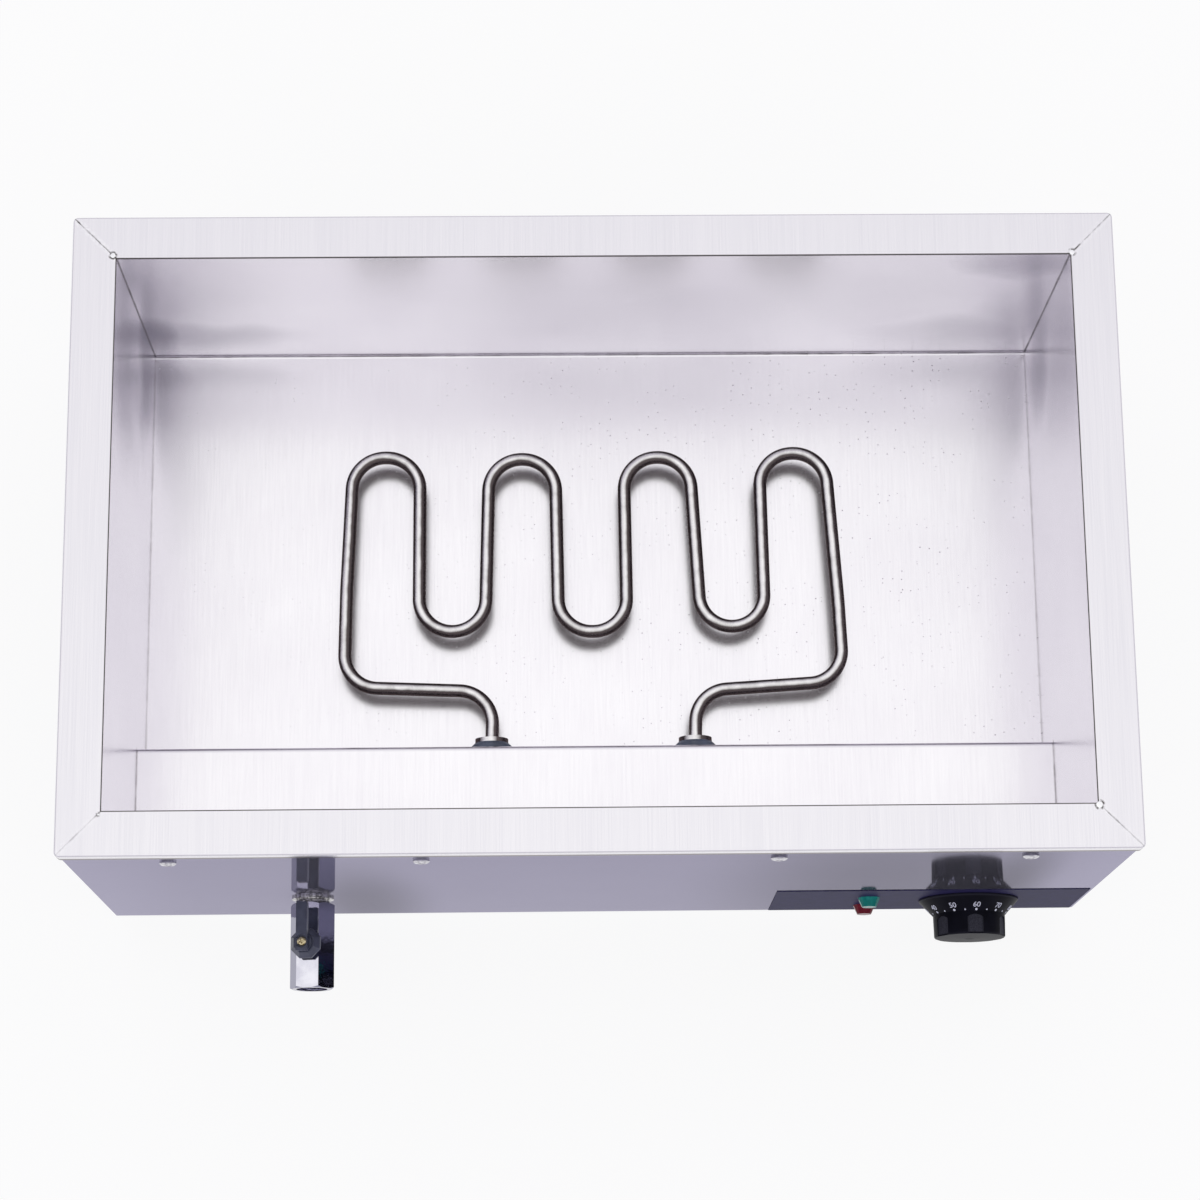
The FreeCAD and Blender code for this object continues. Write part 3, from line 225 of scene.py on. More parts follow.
def brushedTankSteel(look):
    material, put, place = startMaterial("brushed_tank_steel")
    lines = brushLines(put, place, look["lineGap"], look["lineLength"])
    clouds = put("TexNoise", [place, 1000 / look["cloud"], 3.0])
    tone = put("Math", [put("MapRange", [lines, 0.3, 0.7, 0, 0.35]),
                        put("MapRange", [clouds, 0.35, 0.65, 0, 0.4])], operation="ADD")
    steel = put("Mix", [tone, look["pale"], look["dark"]], data_type="RGBA")
    # violet clouds of painted shade near the back corners, and a fainter one between them, stand in for the dark
    # surroundings that the walls mirror
    drift = put("TexNoise", [place, 1000 / look["driftSize"], 1.0]).node.outputs["Color"]
    drift = put("VectorMath", [drift, (0.5, 0.5, 0.5)], operation="SUBTRACT")
    drifted = put("VectorMath", [drift, [d * mm for d in look["drift"]], place], operation="MULTIPLY_ADD")
    patch = softClouds(put, drifted, look["clouds"], 1.4)
    steel = put("Mix", [patch, steel, look["patch"]], data_type="RGBA")
    # distances in from the well's walls, its floor and the step
    axes = put("SeparateXYZ", [place]).node.outputs
    fromMiddle = put("Math", [axes["X"]], operation="ABSOLUTE")
    reach = {"side": put("Math", [look["halfLength"] * mm, fromMiddle], operation="SUBTRACT"),
             "back": put("Math", [look["backY"] * mm, axes["Y"]], operation="SUBTRACT"),
             "front": put("Math", [axes["Y"], look["frontY"] * mm], operation="SUBTRACT"),
             "step": put("Math", [axes["Y"], look["stepY"] * mm], operation="SUBTRACT"),
             "floor": put("Math", [axes["Z"], look["floorZ"] * mm], operation="SUBTRACT"),
             "shelf": put("Math", [axes["Z"], look["shelfZ"] * mm], operation="SUBTRACT")}
    # painted shade darkens every inside fold, heaviest where the back meets the floor and on the step's edge
    wave = put("Math", [put("TexNoise", [place, 1000 / 12.0, 2.0]), 0.5], operation="SUBTRACT")
    near = {}
    for side, distance in reach.items():
        distance = put("Math", [distance], operation="ABSOLUTE")
        uneven = put("Math", [wave, look["foldRagged"] * mm, distance], operation="MULTIPLY_ADD")
        near[side] = put("MapRange", [uneven, 0.4 * mm, look["foldWidth"] * mm, 1, 0])
    overStep = put("Math", [reach["step"], 1 * mm], operation="LESS_THAN")
    near["ledge"] = put("Math", [near["shelf"], overStep], operation="MULTIPLY")
    fold = 0.0
    for first, second, share in look["folds"]:
        both = put("Math", [near[first], near[second]], operation="MULTIPLY")
        fold = put("Math", [fold, put("Math", [both, share], operation="MULTIPLY")], operation="MAXIMUM")
    blotches = put("MapRange", [put("TexNoise", [place, 1000 / 9.0, 2.0]), 0.3, 0.6, 0.6, 1])
    fold = put("Math", [fold, blotches], operation="MULTIPLY")
    steel = put("Mix", [fold, steel, look["fold"]], data_type="RGBA")
    # specks of dried scale on the floor, under 1 mm wide, in loose groups and more of them to the right
    cells = put("TexVoronoi", [place, 1000 / look["markGap"]], voronoi_dimensions="2D")
    chance = put("SeparateXYZ", [cells.node.outputs["Color"]])
    marks = put("Math", [put("MapRange", [cells, 0.03, 0.09, 1, 0]),
                         put("MapRange", [chance, 0.35, 0.9, 0, 1])], operation="MULTIPLY")
    groups = put("MapRange", [put("TexNoise", [place, 1000 / 30.0, 3.0]), 0.38, 0.62, 0, 1])
    toTheRight = put("MapRange", [axes["X"], -150 * mm, 100 * mm, 0.25, 1])
    onFloor = put("MapRange", [reach["floor"], 1 * mm, 3 * mm, 1, 0])
    for share in (groups, toTheRight, onFloor):
        marks = put("Math", [marks, share], operation="MULTIPLY")
    colour = put("Mix", [marks, steel, look["mark"]], data_type="RGBA")
    roughness = put("Math", [lines, 0.08, look["roughness"]], operation="MULTIPLY_ADD")
    roughness = put("Math", [marks, 0.25, roughness], operation="MULTIPLY_ADD")
    swell = put("Math", [clouds, 3.0], operation="MULTIPLY")
    height = put("Math", [lines, 0.4, swell], operation="MULTIPLY_ADD")
    return finishMaterial(material, put, colour, roughness, height, 0.015, Metallic=1.0,
                          Specular_Tint=linear(look["tint"]))


# 0.8 mm 430 stainless, bright annealed under a peeled film: nearly a mirror, bluish at a low angle, with
# faint rolling lines, hairline scratches, the slow waves of thin sheet and a haze of film glue over what it
# mirrors. Painted shade sits beside the dial, the lamps and the valve, and a painted reflection makes the
# sheet paler towards its ends.
casingLook = {"pale": "#A2A1AD", "dark": "#9897A4", "end": "#B2B1BD", "scratch": "#CCCBD6", "tint": "#BBB6CF",
              "roughness": 0.07, "lineGap": 1.6, "lineLength": 120.0, "wave": 120.0, "scratchGap": 0.7,
              "scratchLength": 26.0, "endFrom": (240, 295), "paintedShade": "#696873", "paintedShadeTint": "#302F40",
              "paintedShades": (((165, -165, 120), (100, 30, 300), 0.45), ((240, -165, 110), (30, 30, 180), 0.55),
                        ((-140, -165, 60), (40, 30, 150), 0.45))}


def brightCasingSteel(look):
    material, put, place = startMaterial("bright_casing_steel")
    lines = brushLines(put, place, look["lineGap"], look["lineLength"], "X")
    clouds = put("TexNoise", [place, 1000 / look["wave"], 2.0])
    tone = put("Math", [put("MapRange", [lines, 0.3, 0.7, 0, 0.35]),
                        put("MapRange", [clouds, 0.35, 0.65, 0, 0.5])], operation="ADD")
    steel = put("Mix", [tone, look["pale"], look["dark"]], data_type="RGBA")
    # painted reflection: the sheet is painted paler towards its ends, where it mirrors brighter surroundings
    outward = put("Math", [put("SeparateXYZ", [place])], operation="ABSOLUTE")
    end = put("MapRange", [outward, *(x * mm for x in look["endFrom"]), 0, 0.8])
    steel = put("Mix", [end, steel, look["end"]], data_type="RGBA")
    # painted shade beside the dial, the lamps and the valve stands in for the dark parts the sheet mirrors there;
    # it also darkens the reflection's tint, so it is darkest at a low angle
    paintedShade = softClouds(put, place, look["paintedShades"], 1.3)
    steel = put("Mix", [paintedShade, steel, look["paintedShade"]], data_type="RGBA")
    tint = put("Mix", [paintedShade, look["tint"], look["paintedShadeTint"]], data_type="RGBA")
    scratches = brushLines(put, place, look["scratchGap"], look["scratchLength"], "Z")
    scratches = put("MapRange", [scratches, 0.72, 0.82, 0, 0.3])
    colour = put("Mix", [scratches, steel, look["scratch"]], data_type="RGBA")
    roughness = put("Math", [lines, 0.04, look["roughness"] - 0.02], operation="MULTIPLY_ADD")
    grain = put("Math", [lines, 0.1], operation="MULTIPLY")
    height = put("Math", [clouds, 8.0, grain], operation="MULTIPLY_ADD")
    return finishMaterial(material, put, colour, roughness, height, 0.02, Metallic=0.72, Specular_Tint=tint)


# Mild steel, zinc plated: dull grey-white with a fine crystal pattern, for parts nobody sees in use.
zincLook = {"pale": "#C9CBD0", "dark": "#AEB1B9", "roughness": 0.38, "crystal": 5.0}


def zincPlatedSteel(look):
    material, put, place = startMaterial("zinc_plated_steel")
    crystals = put("TexVoronoi", [place, 1000 / look["crystal"]]).node.outputs["Color"]
    shade = put("SeparateXYZ", [crystals])
    blotches = put("MapRange", [put("TexNoise", [place, 1000 / 40.0, 2.0]), 0.3, 0.7, 0, 0.4])
    tone = put("Math", [shade, 0.6, blotches], operation="MULTIPLY_ADD")
    colour = put("Mix", [tone, look["pale"], look["dark"]], data_type="RGBA")
    roughness = put("Math", [shade, 0.12, look["roughness"]], operation="MULTIPLY_ADD")
    return finishMaterial(material, put, colour, roughness, put("TexNoise", [place, 1000 / 1.2, 2.0]), 0.01,
                          Metallic=1.0)


# Small metal parts, each a clean colour with a duller one in patches and a fine relief. Screws are cold
# headed and tumbled. The valve is brass, polished and dipped in chrome, with a touch of orange peel, and its
# sides are painted a darker lavender as a painted reflection of the dimmer surroundings they face. Cut
# threads keep dark oil in their grooves. The earth nut and lever screw are turned brass gone brown in
# places, and the thermostat's tube is copper with oxide.
smallMetalLooks = {
    "tumbled_screw_steel": {"clean": "#DAD9DE", "dull": "#B3B1B8", "roughness": 0.17, "uneven": 0.14,
                            "patch": 1.4, "relief": 1.4},
    "chrome_plated_brass": {"clean": "#F4F4FA", "dull": "#DCDCE6", "side": "#87869C", "roughness": 0.03,
                            "uneven": 0.05, "patch": 9.0, "relief": 2.5},
    "cut_thread_steel": {"clean": "#D9D7D8", "dull": "#403E42", "roughness": 0.15, "uneven": 0.2,
                         "patch": 1.2, "relief": 0.8},
    "turned_brass": {"clean": "#F2E8C2", "dull": "#8E7440", "roughness": 0.2, "uneven": 0.2, "patch": 1.0,
                     "relief": 0.6},
    "annealed_copper": {"clean": "#D08E6C", "dull": "#8C5238", "roughness": 0.28, "uneven": 0.18,
                        "patch": 7.0, "relief": 1.5},
}


def smallMetal(name, look):
    material, put, place = startMaterial(name)
    patches = put("TexNoise", [place, 1000 / look["patch"], 4.0])
    dull = put("MapRange", [patches, 0.38, 0.68, 0, 1])
    colour = put("Mix", [dull, look["clean"], look["dull"]], data_type="RGBA")
    # painted reflection: the valve's sides are painted a darker lavender, for the dimmer surroundings they face
    if "side" in look:
        upward = put("SeparateXYZ", [put("TexCoord").node.outputs["Normal"]]).node.outputs["Z"]
        paintedSideShade = put("MapRange", [upward, 0.7, 0.9, 1, 0])
        colour = put("Mix", [paintedSideShade, colour, look["side"]], data_type="RGBA")
    roughness = put("Math", [patches, look["uneven"], look["roughness"]], operation="MULTIPLY_ADD")
    relief = put("TexNoise", [place, 1000 / look["relief"], 2.0])
    return finishMaterial(material, put, colour, roughness, relief, 0.02, Metallic=1.0)


# Stainless heater sheath, drawn and annealed: the oxide leaves it dark grey-brown, and a painted highlight
# makes it bright where it faces the light, above it and a little to the left and back.
sheathLook = {"bright": "#F0EEEE", "oxide": "#5E5655", "towardLight": (-0.24, 0.12, 0.96), "highlightFrom": 0.84,
              "mottle": 6.0, "roughness": 0.2, "tint": "#A8A2A2"}


def annealedSheathSteel(look):
    material, put, place = startMaterial("annealed_sheath_steel")
    # painted highlight: bright where the surface faces the light, the rest keeps the oxide colour
    facing = put("TexCoord").node.outputs["Normal"]
    top = put("VectorMath", [facing, look["towardLight"]], operation="DOT_PRODUCT").node.outputs["Value"]
    uneven = put("Math", [put("TexNoise", [place, 1000 / look["mottle"], 3.0]), 0.5], operation="SUBTRACT")
    uneven = put("Math", [uneven, 0.12, top], operation="MULTIPLY_ADD")
    paintedHighlight = put("MapRange", [uneven, look["highlightFrom"], 0.98, 0, 1])
    colour = put("Mix", [paintedHighlight, look["oxide"], look["bright"]], data_type="RGBA")
    fine = put("TexNoise", [place, 1000 / 0.7, 3.0])
    roughness = put("Math", [fine, 0.14, look["roughness"]], operation="MULTIPLY_ADD")
    return finishMaterial(material, put, colour, roughness, fine, 0.012, Metallic=1.0,
                          Specular_Tint=linear(look["tint"]))


# Moulded and fired parts: a colour with its darker mottle, the mould's texture in mm with its depth, how
# far the skin reflects, and settled dust. Phenolic is hard and half-gloss, nylon duller with a spark-eroded
# grain, nitrile and silicone rubber matt and dusty, PTFE waxy, steatite an eggshell glaze, and the label is
# printed polyester.
mouldedLooks = {
    "nylon_lever": {"pale": "#4A4E62", "dark": "#34374A", "roughness": 0.3, "grain": 0.6, "depth": 0.02,
                    "skin": 0.45, "dust": 0.0},
    "polyester_label": {"pale": "#2A2750", "dark": "#242146", "roughness": 0.5, "grain": 0.5, "depth": 0.006,
                        "skin": 0.05, "dust": 0.0},
    "nitrile_foot": {"pale": "#232325", "dark": "#18181A", "roughness": 0.68, "grain": 0.9, "depth": 0.04,
                     "skin": 0.3, "dust": 0.18},
    "silicone_gasket": {"pale": "#626B80", "dark": "#454C5C", "roughness": 0.5, "grain": 1.2, "depth": 0.03,
                        "skin": 0.35, "dust": 0.1},
    "glazed_steatite": {"pale": "#F0EADC", "dark": "#E0D8C6", "roughness": 0.3, "grain": 1.5, "depth": 0.02,
                        "skin": 0.5, "dust": 0.0},
    "sintered_ptfe": {"pale": "#F1F0EC", "dark": "#E4E2DC", "roughness": 0.45, "grain": 0.8, "depth": 0.01,
                      "skin": 0.4, "dust": 0.0},
    "phenolic_thermostat": {"pale": "#3A2A20", "dark": "#291D16", "roughness": 0.42, "grain": 0.8,
                            "depth": 0.02, "skin": 0.4, "dust": 0.06},
    "nylon_lamp_body": {"pale": "#E6E3DA", "dark": "#D6D2C6", "roughness": 0.4, "grain": 0.8, "depth": 0.015,
                        "skin": 0.4, "dust": 0.0},
    "nylon_gland": {"pale": "#1F1F22", "dark": "#141417", "roughness": 0.45, "grain": 0.5, "depth": 0.025,
                    "skin": 0.35, "dust": 0.06},
    "pad_printed_ink": {"pale": "#E4E6F4", "dark": "#CDD0E2", "roughness": 0.5, "grain": 0.4, "depth": 0.004,
                        "skin": 0.3, "dust": 0.0},
}


dustColour = "#B9B6B4"


def mouldedMaterial(name, look):
    material, put, place = startMaterial(name)
    texture = put("TexNoise", [place, 1000 / look["grain"], 3.0])
    mottle = put("MapRange", [put("TexNoise", [place, 1000 / (look["grain"] * 12), 3.0]), 0.3, 0.7, 0, 1])
    body = put("Mix", [mottle, look["pale"], look["dark"]], data_type="RGBA")
    dust = put("TexNoise", [place, 1000 / (look["grain"] * 4), 5.0])
    dust = put("MapRange", [dust, 0.5, 0.75, 0, look["dust"]])
    colour = put("Mix", [dust, body, dustColour], data_type="RGBA")
    roughness = put("Math", [texture, 0.1, look["roughness"] - 0.05], operation="MULTIPLY_ADD")
    roughness = put("Math", [dust, 0.8, roughness], operation="MULTIPLY_ADD")
    return finishMaterial(material, put, colour, roughness, texture, look["depth"],
                          Specular_IOR_Level=look["skin"])


# Phenolic knob, compression moulded and buffed: near black with a soft shine. Its flutes are painted greyer as
# a painted reflection of the sky, and the skirt's rim and the grip's front edge get a paler line as a painted
# highlight.
knobLook = {"pale": "#13131E", "dark": "#0C0C14", "flute": "#45454F", "edge": "#3A3A46", "roughness": 0.42,
            "grain": 0.7, "fluteFloor": 20.6, "grip": 21.9, "gripFrontEdge": (20.8, 21.2), "frontY": -188.4,
            "backY": -175.6, "skirt": 30.2}


def buffedPhenolic(look):
    material, put, place = startMaterial("buffed_phenolic")
    axes = put("SeparateXYZ", [place]).node.outputs
    radius = distanceFrom(put, place, dialPlace, (1, 0, 1))
    texture = put("TexNoise", [place, 1000 / look["grain"], 3.0])
    mottle = put("MapRange", [put("TexNoise", [place, 1000 / 9.0, 3.0]), 0.3, 0.7, 0, 1])
    body = put("Mix", [mottle, look["pale"], look["dark"]], data_type="RGBA")
    front, back = look["frontY"], look["backY"]
    alongGrip = put("Math", [put("MapRange", [axes["Y"], front * mm, (front + 0.4) * mm, 0, 1]),
                             put("MapRange", [axes["Y"], (back - 0.4) * mm, back * mm, 1, 0])],
                    operation="MULTIPLY")
    # painted reflection: the flute floors are painted greyer, for the sky they face
    sunk = put("MapRange", [radius, (look["fluteFloor"] + 0.3) * mm, (look["grip"] - 0.25) * mm, 1, 0])
    sunk = put("Math", [sunk, alongGrip], operation="MULTIPLY")
    sunk = put("Math", [sunk, put("MapRange", [texture, 0.3, 0.7, 0.45, 1])], operation="MULTIPLY")
    colour = put("Mix", [sunk, body, look["flute"]], data_type="RGBA")
    # painted highlight: a paler line on the skirt's rim and the grip's front edge
    rim = put("MapRange", [radius, (look["skirt"] - 0.7) * mm, (look["skirt"] - 0.2) * mm, 0, 0.4])
    frontEdge = put("MapRange", [axes["Y"], (front - 0.9) * mm, (front - 0.1) * mm, 0, 1])
    for limit in (put("MapRange", [axes["Y"], front * mm, (front + 0.5) * mm, 1, 0]),
                  put("MapRange", [radius, *(r * mm for r in look["gripFrontEdge"]), 0, 0.2])):
        frontEdge = put("Math", [frontEdge, limit], operation="MULTIPLY")
    paintedEdgeHighlight = put("Math", [rim, frontEdge], operation="MAXIMUM")
    colour = put("Mix", [paintedEdgeHighlight, colour, look["edge"]], data_type="RGBA")
    roughness = put("Math", [texture, 0.1, look["roughness"] - 0.05], operation="MULTIPLY_ADD")
    roughness = put("Math", [sunk, 0.15, roughness], operation="MULTIPLY_ADD")
    return finishMaterial(material, put, colour, roughness, texture, 0.006, Specular_IOR_Level=0.05)


# Indicator lenses moulded in clear coloured polycarbonate: deep in the middle, brighter where an edge gathers
# light.
lensLooks = {
    "green_polycarbonate_lens": {"deep": "#067A74", "edge": "#16988E", "centre": (166, 0, 64)},
    "red_polycarbonate_lens": {"deep": "#6E0A22", "edge": "#84182F", "centre": (166, 0, 33)},
}


def clearLens(name, look):
    material, put, place = startMaterial(name)
    radius = distanceFrom(put, place, look["centre"], (1, 0, 1))
    uneven = put("MapRange", [put("TexNoise", [place, 1000 / 2.0, 2.0]), 0.3, 0.7, 0, 1])
    edge = put("Math", [put("MapRange", [radius, 3.6 * mm, 6.9 * mm, 0, 1]), uneven], operation="MULTIPLY")
    colour = put("Mix", [edge, look["deep"], look["edge"]], data_type="RGBA")
    ribs = put("TexNoise", [place, 1000 / 1.0, 2.0])
    roughness = put("Math", [ribs, 0.08, 0.06], operation="MULTIPLY_ADD")
    return finishMaterial(material, put, colour, roughness, ribs, 0.01, IOR=1.58, Transmission_Weight=0.1,
                          Specular_IOR_Level=0.06)


finishes = {"rim": satinRimSteel(rimLook), "tank": brushedTankSteel(tankLook),
            "casing": brightCasingSteel(casingLook), "zinc": zincPlatedSteel(zincLook),
            "sheath": annealedSheathSteel(sheathLook), "knob": buffedPhenolic(knobLook)}
finishes.update({name: smallMetal(name, look) for name, look in smallMetalLooks.items()})
finishes.update({name: mouldedMaterial(name, look) for name, look in mouldedLooks.items()})
finishes.update({name: clearLens(name, look) for name, look in lensLooks.items()})

# what each slot of the record is made of
slotFinish = {
    "rim_steel": "rim", "tank_steel": "tank", "casing_steel": "casing", "plated_steel": "zinc",
    "screw_steel": "tumbled_screw_steel", "brass": "turned_brass", "sheath_steel": "sheath",
    "valve_chrome": "chrome_plated_brass", "shaft_steel": "tumbled_screw_steel", "copper": "annealed_copper",
    "foot_rubber": "nitrile_foot", "gasket_rubber": "silicone_gasket", "steatite": "glazed_steatite",
    "ptfe": "sintered_ptfe", "lever_plastic": "nylon_lever", "label_film": "polyester_label",
    "knob_plastic": "knob", "thermostat_plastic": "phenolic_thermostat", "lamp_plastic": "nylon_lamp_body",
    "gland_nylon": "nylon_gland", "green_lens": "green_polycarbonate_lens",
    "red_lens": "red_polycarbonate_lens",
}
for row in frame["record"]["subparts"]:
    nodes[row["node"]].material_slots[0].material = finishes[slotFinish[row["material_slot"]]]
for name in ("drain_nipple", "drain_washer"):
    nodes[name].material_slots[0].material = finishes["cut_thread_steel"]
print("materials: %d finishes on %d nodes" % (len(finishes), len(nodes)))


sharpAngle = 38.0


def addPiece(name, points, faces, material, body, smooth=True):
    mesh = bpy.data.meshes.new(name)
    mesh.from_pydata([Vector(p) * mm for p in points], [], faces)
    work = bmesh.new()
    work.from_mesh(mesh)
    bmesh.ops.remove_doubles(work, verts=work.verts, dist=0.001 * mm)
    bmesh.ops.recalc_face_normals(work, faces=work.faces)
    for face in work.faces:
        face.smooth = smooth
    work.to_mesh(mesh)
    work.free()
    mesh.materials.append(material)
    piece = bpy.data.objects.new(name, mesh)
    bpy.context.scene.collection.objects.link(piece)
    if smooth:
        mesh.set_sharp_from_angle(angle=math.radians(sharpAngle))
    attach(piece, body)
    return piece


def shifted(faces, by):  # the faces' point numbers, moved on by the points that stand before them
    return [tuple(i + by for i in face) for face in faces]


def lathe(profile, turns):  # (radius, height) pairs turned round Z
    points = [(r * math.cos(2 * math.pi * k / turns), r * math.sin(2 * math.pi * k / turns), z)
              for r, z in profile for k in range(turns)]
    faces = [(a + k, a + (k + 1) % turns, a + turns + (k + 1) % turns, a + turns + k)
             for a in range(0, (len(profile) - 1) * turns, turns) for k in range(turns)]
    return points, faces


# The heating tube as it was bent by hand, no two legs quite alike. It follows the solid within 3 mm and runs
# straight through both bushes. A corner's third number is its own bend radius.
tubeLook = {
    "radius": 4.0, "height": 94.0, "bend": 20.6, "sides": 28,
    "corners": [(-62.9, -104.5), (-62.9, -75.0, 60), (-61.8, -41.8), (-152.7, -38.3), (-151.6, 22.0, 300),
                (-147.9, 106.9), (-106.7, 106.9), (-107.2, -3.9), (-66.8, -3.9), (-64.0, 105.4),
                (-23.2, 105.4), (-21.7, -4.5), (20.1, -4.5), (19.2, 106.1), (59.9, 106.1), (65.6, -1.9),
                (104.6, -1.9), (103.2, 108.2), (143.9, 108.2), (149.8, 14.0, 300), (151.8, -36.6),
                (61.6, -42.3), (60.5, -75.0, 60), (60.5, -104.5)],
}


def bendPath(look):  # the centre line: straight runs, with an arc at each corner that just touches both
    corners = [Vector(c[:2]) for c in look["corners"]]
    turns = [0.0] * len(corners)
    for k in range(1, len(corners) - 1):
        turns[k] = (corners[k] - corners[k - 1]).angle(corners[k + 1] - corners[k])
    path = [corners[0]]
    for k in range(1, len(corners) - 1):
        before, after = corners[k] - corners[k - 1], corners[k + 1] - corners[k]
        radius = look["corners"][k][2] if len(look["corners"][k]) > 2 else look["bend"]
        for run, other in ((before, k - 1), (after, k + 1)):  # two bends share a short run
            if 0 < other < len(corners) - 1 and run.length < 3 * radius:
                spread = math.tan(turns[k] / 2) + math.tan(turns[other] / 2)
                radius = min(radius, 0.999 * run.length / spread)
        reach = radius * math.tan(turns[k] / 2)
        start, end = corners[k] - before.normalized() * reach, corners[k] + after.normalized() * reach
        hand = math.copysign(1, before.x * after.y - before.y * after.x)
        centre = start + hand * radius * Vector((-before.y, before.x)).normalized()
        steps = max(2, round(turns[k] / math.radians(5)))
        path.append(start)
        for step in range(1, steps):
            a = hand * turns[k] * step / steps
            arm = start - centre
            path.append(centre + Vector((arm.x * math.cos(a) - arm.y * math.sin(a),
                                         arm.x * math.sin(a) + arm.y * math.cos(a))))
        path.append(end)
    return path + [corners[-1]]


def tubeShape(look):
    path, sides = bendPath(look), look["sides"]
    points, faces = [], []
    for k, p in enumerate(path):
        ahead = (path[min(k + 1, len(path) - 1)] - p).normalized()
        behind = (p - path[max(k - 1, 0)]).normalized()
        across = Vector((-(ahead + behind).y, (ahead + behind).x)).normalized()
        for turn in range(sides):
            a = 2 * math.pi * turn / sides
            at = p + across * look["radius"] * math.cos(a)
            points.append((at.x, at.y, look["height"] + look["radius"] * math.sin(a)))
        if k:
            r = (k - 1) * sides
            faces += [(r + e, r + (e + 1) % sides, r + sides + (e + 1) % sides, r + sides + e)
                      for e in range(sides)]
    return points, faces + [tuple(range(sides)), tuple(range(len(points) - sides, len(points)))]


points, faces = tubeShape(tubeLook)
tube = addPiece("bent_heating_tube", points, faces, finishes["sheath"], "casing")
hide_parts("heating_element")
print("heating tube: %d bends" % (len(tubeLook["corners"]) - 2))

# Cross-recessed pan head screws. The shank's thread is cut as rings, since it is never seen turning.
rimScrewsX, rimScrewsZ = (-241, -100, 100, 241), 223
leverScrewSeat = 25.2  # from the valve's axis
screwLooks = {
    "front_rim_screws": {"head": 4.75, "rise": 2.2, "shank": 2.0, "length": 9.0, "pitch": 0.9,
                         "axis": (0, -1, 0), "seats": [(x, -165.2, rimScrewsZ) for x in rimScrewsX]},
    "back_rim_screws": {"head": 4.75, "rise": 2.2, "shank": 2.0, "length": 9.0, "pitch": 0.9,
                        "axis": (0, 1, 0), "seats": [(x, 203.2, rimScrewsZ) for x in rimScrewsX]},
    "base_screws": {"head": 3.6, "rise": 2.2, "shank": 1.75, "length": 7.0, "pitch": 0.8, "axis": (0, 0, -1),
                    "seats": [(x, y, 13) for x in (-105, 105) for y in (-157.2, 195.2)]
                    + [(x, y, 13) for x in (-290.2, 290.2) for y in (-86, 19, 124)]},
    "lever_screw": {"head": 2.75, "rise": 1.3, "shank": 1.5, "length": 9.0, "pitch": 0.5, "axis": leverAxis,
                    "seats": [[p + a * leverScrewSeat for p, a in zip(drainPlace, leverAxis)]]},
}
# the cross is in shares of the head's radius, its depth and the head's dome in shares of the head's rise
crossLook = {"halfArm": 0.13, "armSlope": 0.05, "end": 0.58, "endSlope": 0.12, "depth": 0.62, "dome": 0.55}


def screwHead(look, cross, turn, turns, rings=15):  # head up Z, its cross turned by an angle
    head, rise = look["head"], look["rise"]
    points = [(0, 0, rise - cross["depth"] * rise)]
    for ring in range(1, rings + 1):
        r = head * (ring / rings)
        for k in range(turns):
            a = 2 * math.pi * k / turns
            x, y = abs(r * math.cos(a)), abs(r * math.sin(a))
            arm = min(max((cross["halfArm"] * head - min(x, y)) / (cross["armSlope"] * head), 0), 1)
            reach = min(max((cross["end"] * head - max(x, y)) / (cross["endSlope"] * head), 0), 1)
            sink = cross["depth"] * rise * arm * reach
            top = rise * (1 - cross["dome"] * (r / head) ** 5)
            points.append((r * math.cos(a + turn), r * math.sin(a + turn), top - sink))
    faces = [(0, 1 + k, 1 + (k + 1) % turns) for k in range(turns)]
    for ring in range(rings - 1):
        a, b = 1 + ring * turns, 1 + (ring + 1) * turns
        faces += [(a + k, b + k, b + (k + 1) % turns, a + (k + 1) % turns) for k in range(turns)]
    return points, faces


def screwShape(look, turn, turns=40):  # the head's underside at 0 and the shank below it
    points, faces = screwHead(look, crossLook, turn, turns)
    head, shank, length, pitch = look["head"], look["shank"], look["length"], look["pitch"]
    root = shank * 0.8
    profile = [(head, 0.45 * look["rise"]), (head * 0.985, 0.0), (shank, 0.0)]
    for step in range(int((length - 1.2) / pitch)):
        z = -0.4 - step * pitch
        profile += [(shank, z), (root, z - pitch * 0.5)]
    profile += [(root, -length + 0.6), (shank * 0.55, -length), (0.01, -length)]
    more, sides = lathe(profile, turns)
    return points + more, faces + shifted(sides, len(points))


for name, look in screwLooks.items():
    points, faces = [], []
    upright = Vector((0, 0, 1)).rotation_difference(Vector(look["axis"])).to_matrix()
    for number, seat in enumerate(look["seats"]):
        shape, sides = screwShape(look, 0.4 + 1.7 * number)  # no two crosses line up
        faces += shifted(sides, len(points))
        points += [upright @ Vector(p) + Vector(seat) for p in shape]
    finish, body, slot = ("tumbled_screw_steel", "casing", "screw_steel")
    if name == "lever_screw":
        finish, body, slot = ("turned_brass", "drain_lever", "brass")
    piece = addPiece("cross_" + name, points, faces, finishes[finish], body)
    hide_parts(name)
print("screws: %d sets" % len(screwLooks))

# G 1/2 pipe threads, 14 to the inch: one crest wound round the neck and one inside the valve's mouth.
threadLooks = {
    "neck_thread": {"root": 9.7, "crest": 10.35, "from": -166.5, "to": -169.1, "slot": "tank_steel",
                    "finish": "cut_thread_steel"},
    "mouth_thread": {"root": 9.45, "crest": 9.0, "from": -209.6, "to": -219.2, "slot": "valve_chrome",
                     "finish": "chrome_plated_brass"},
}


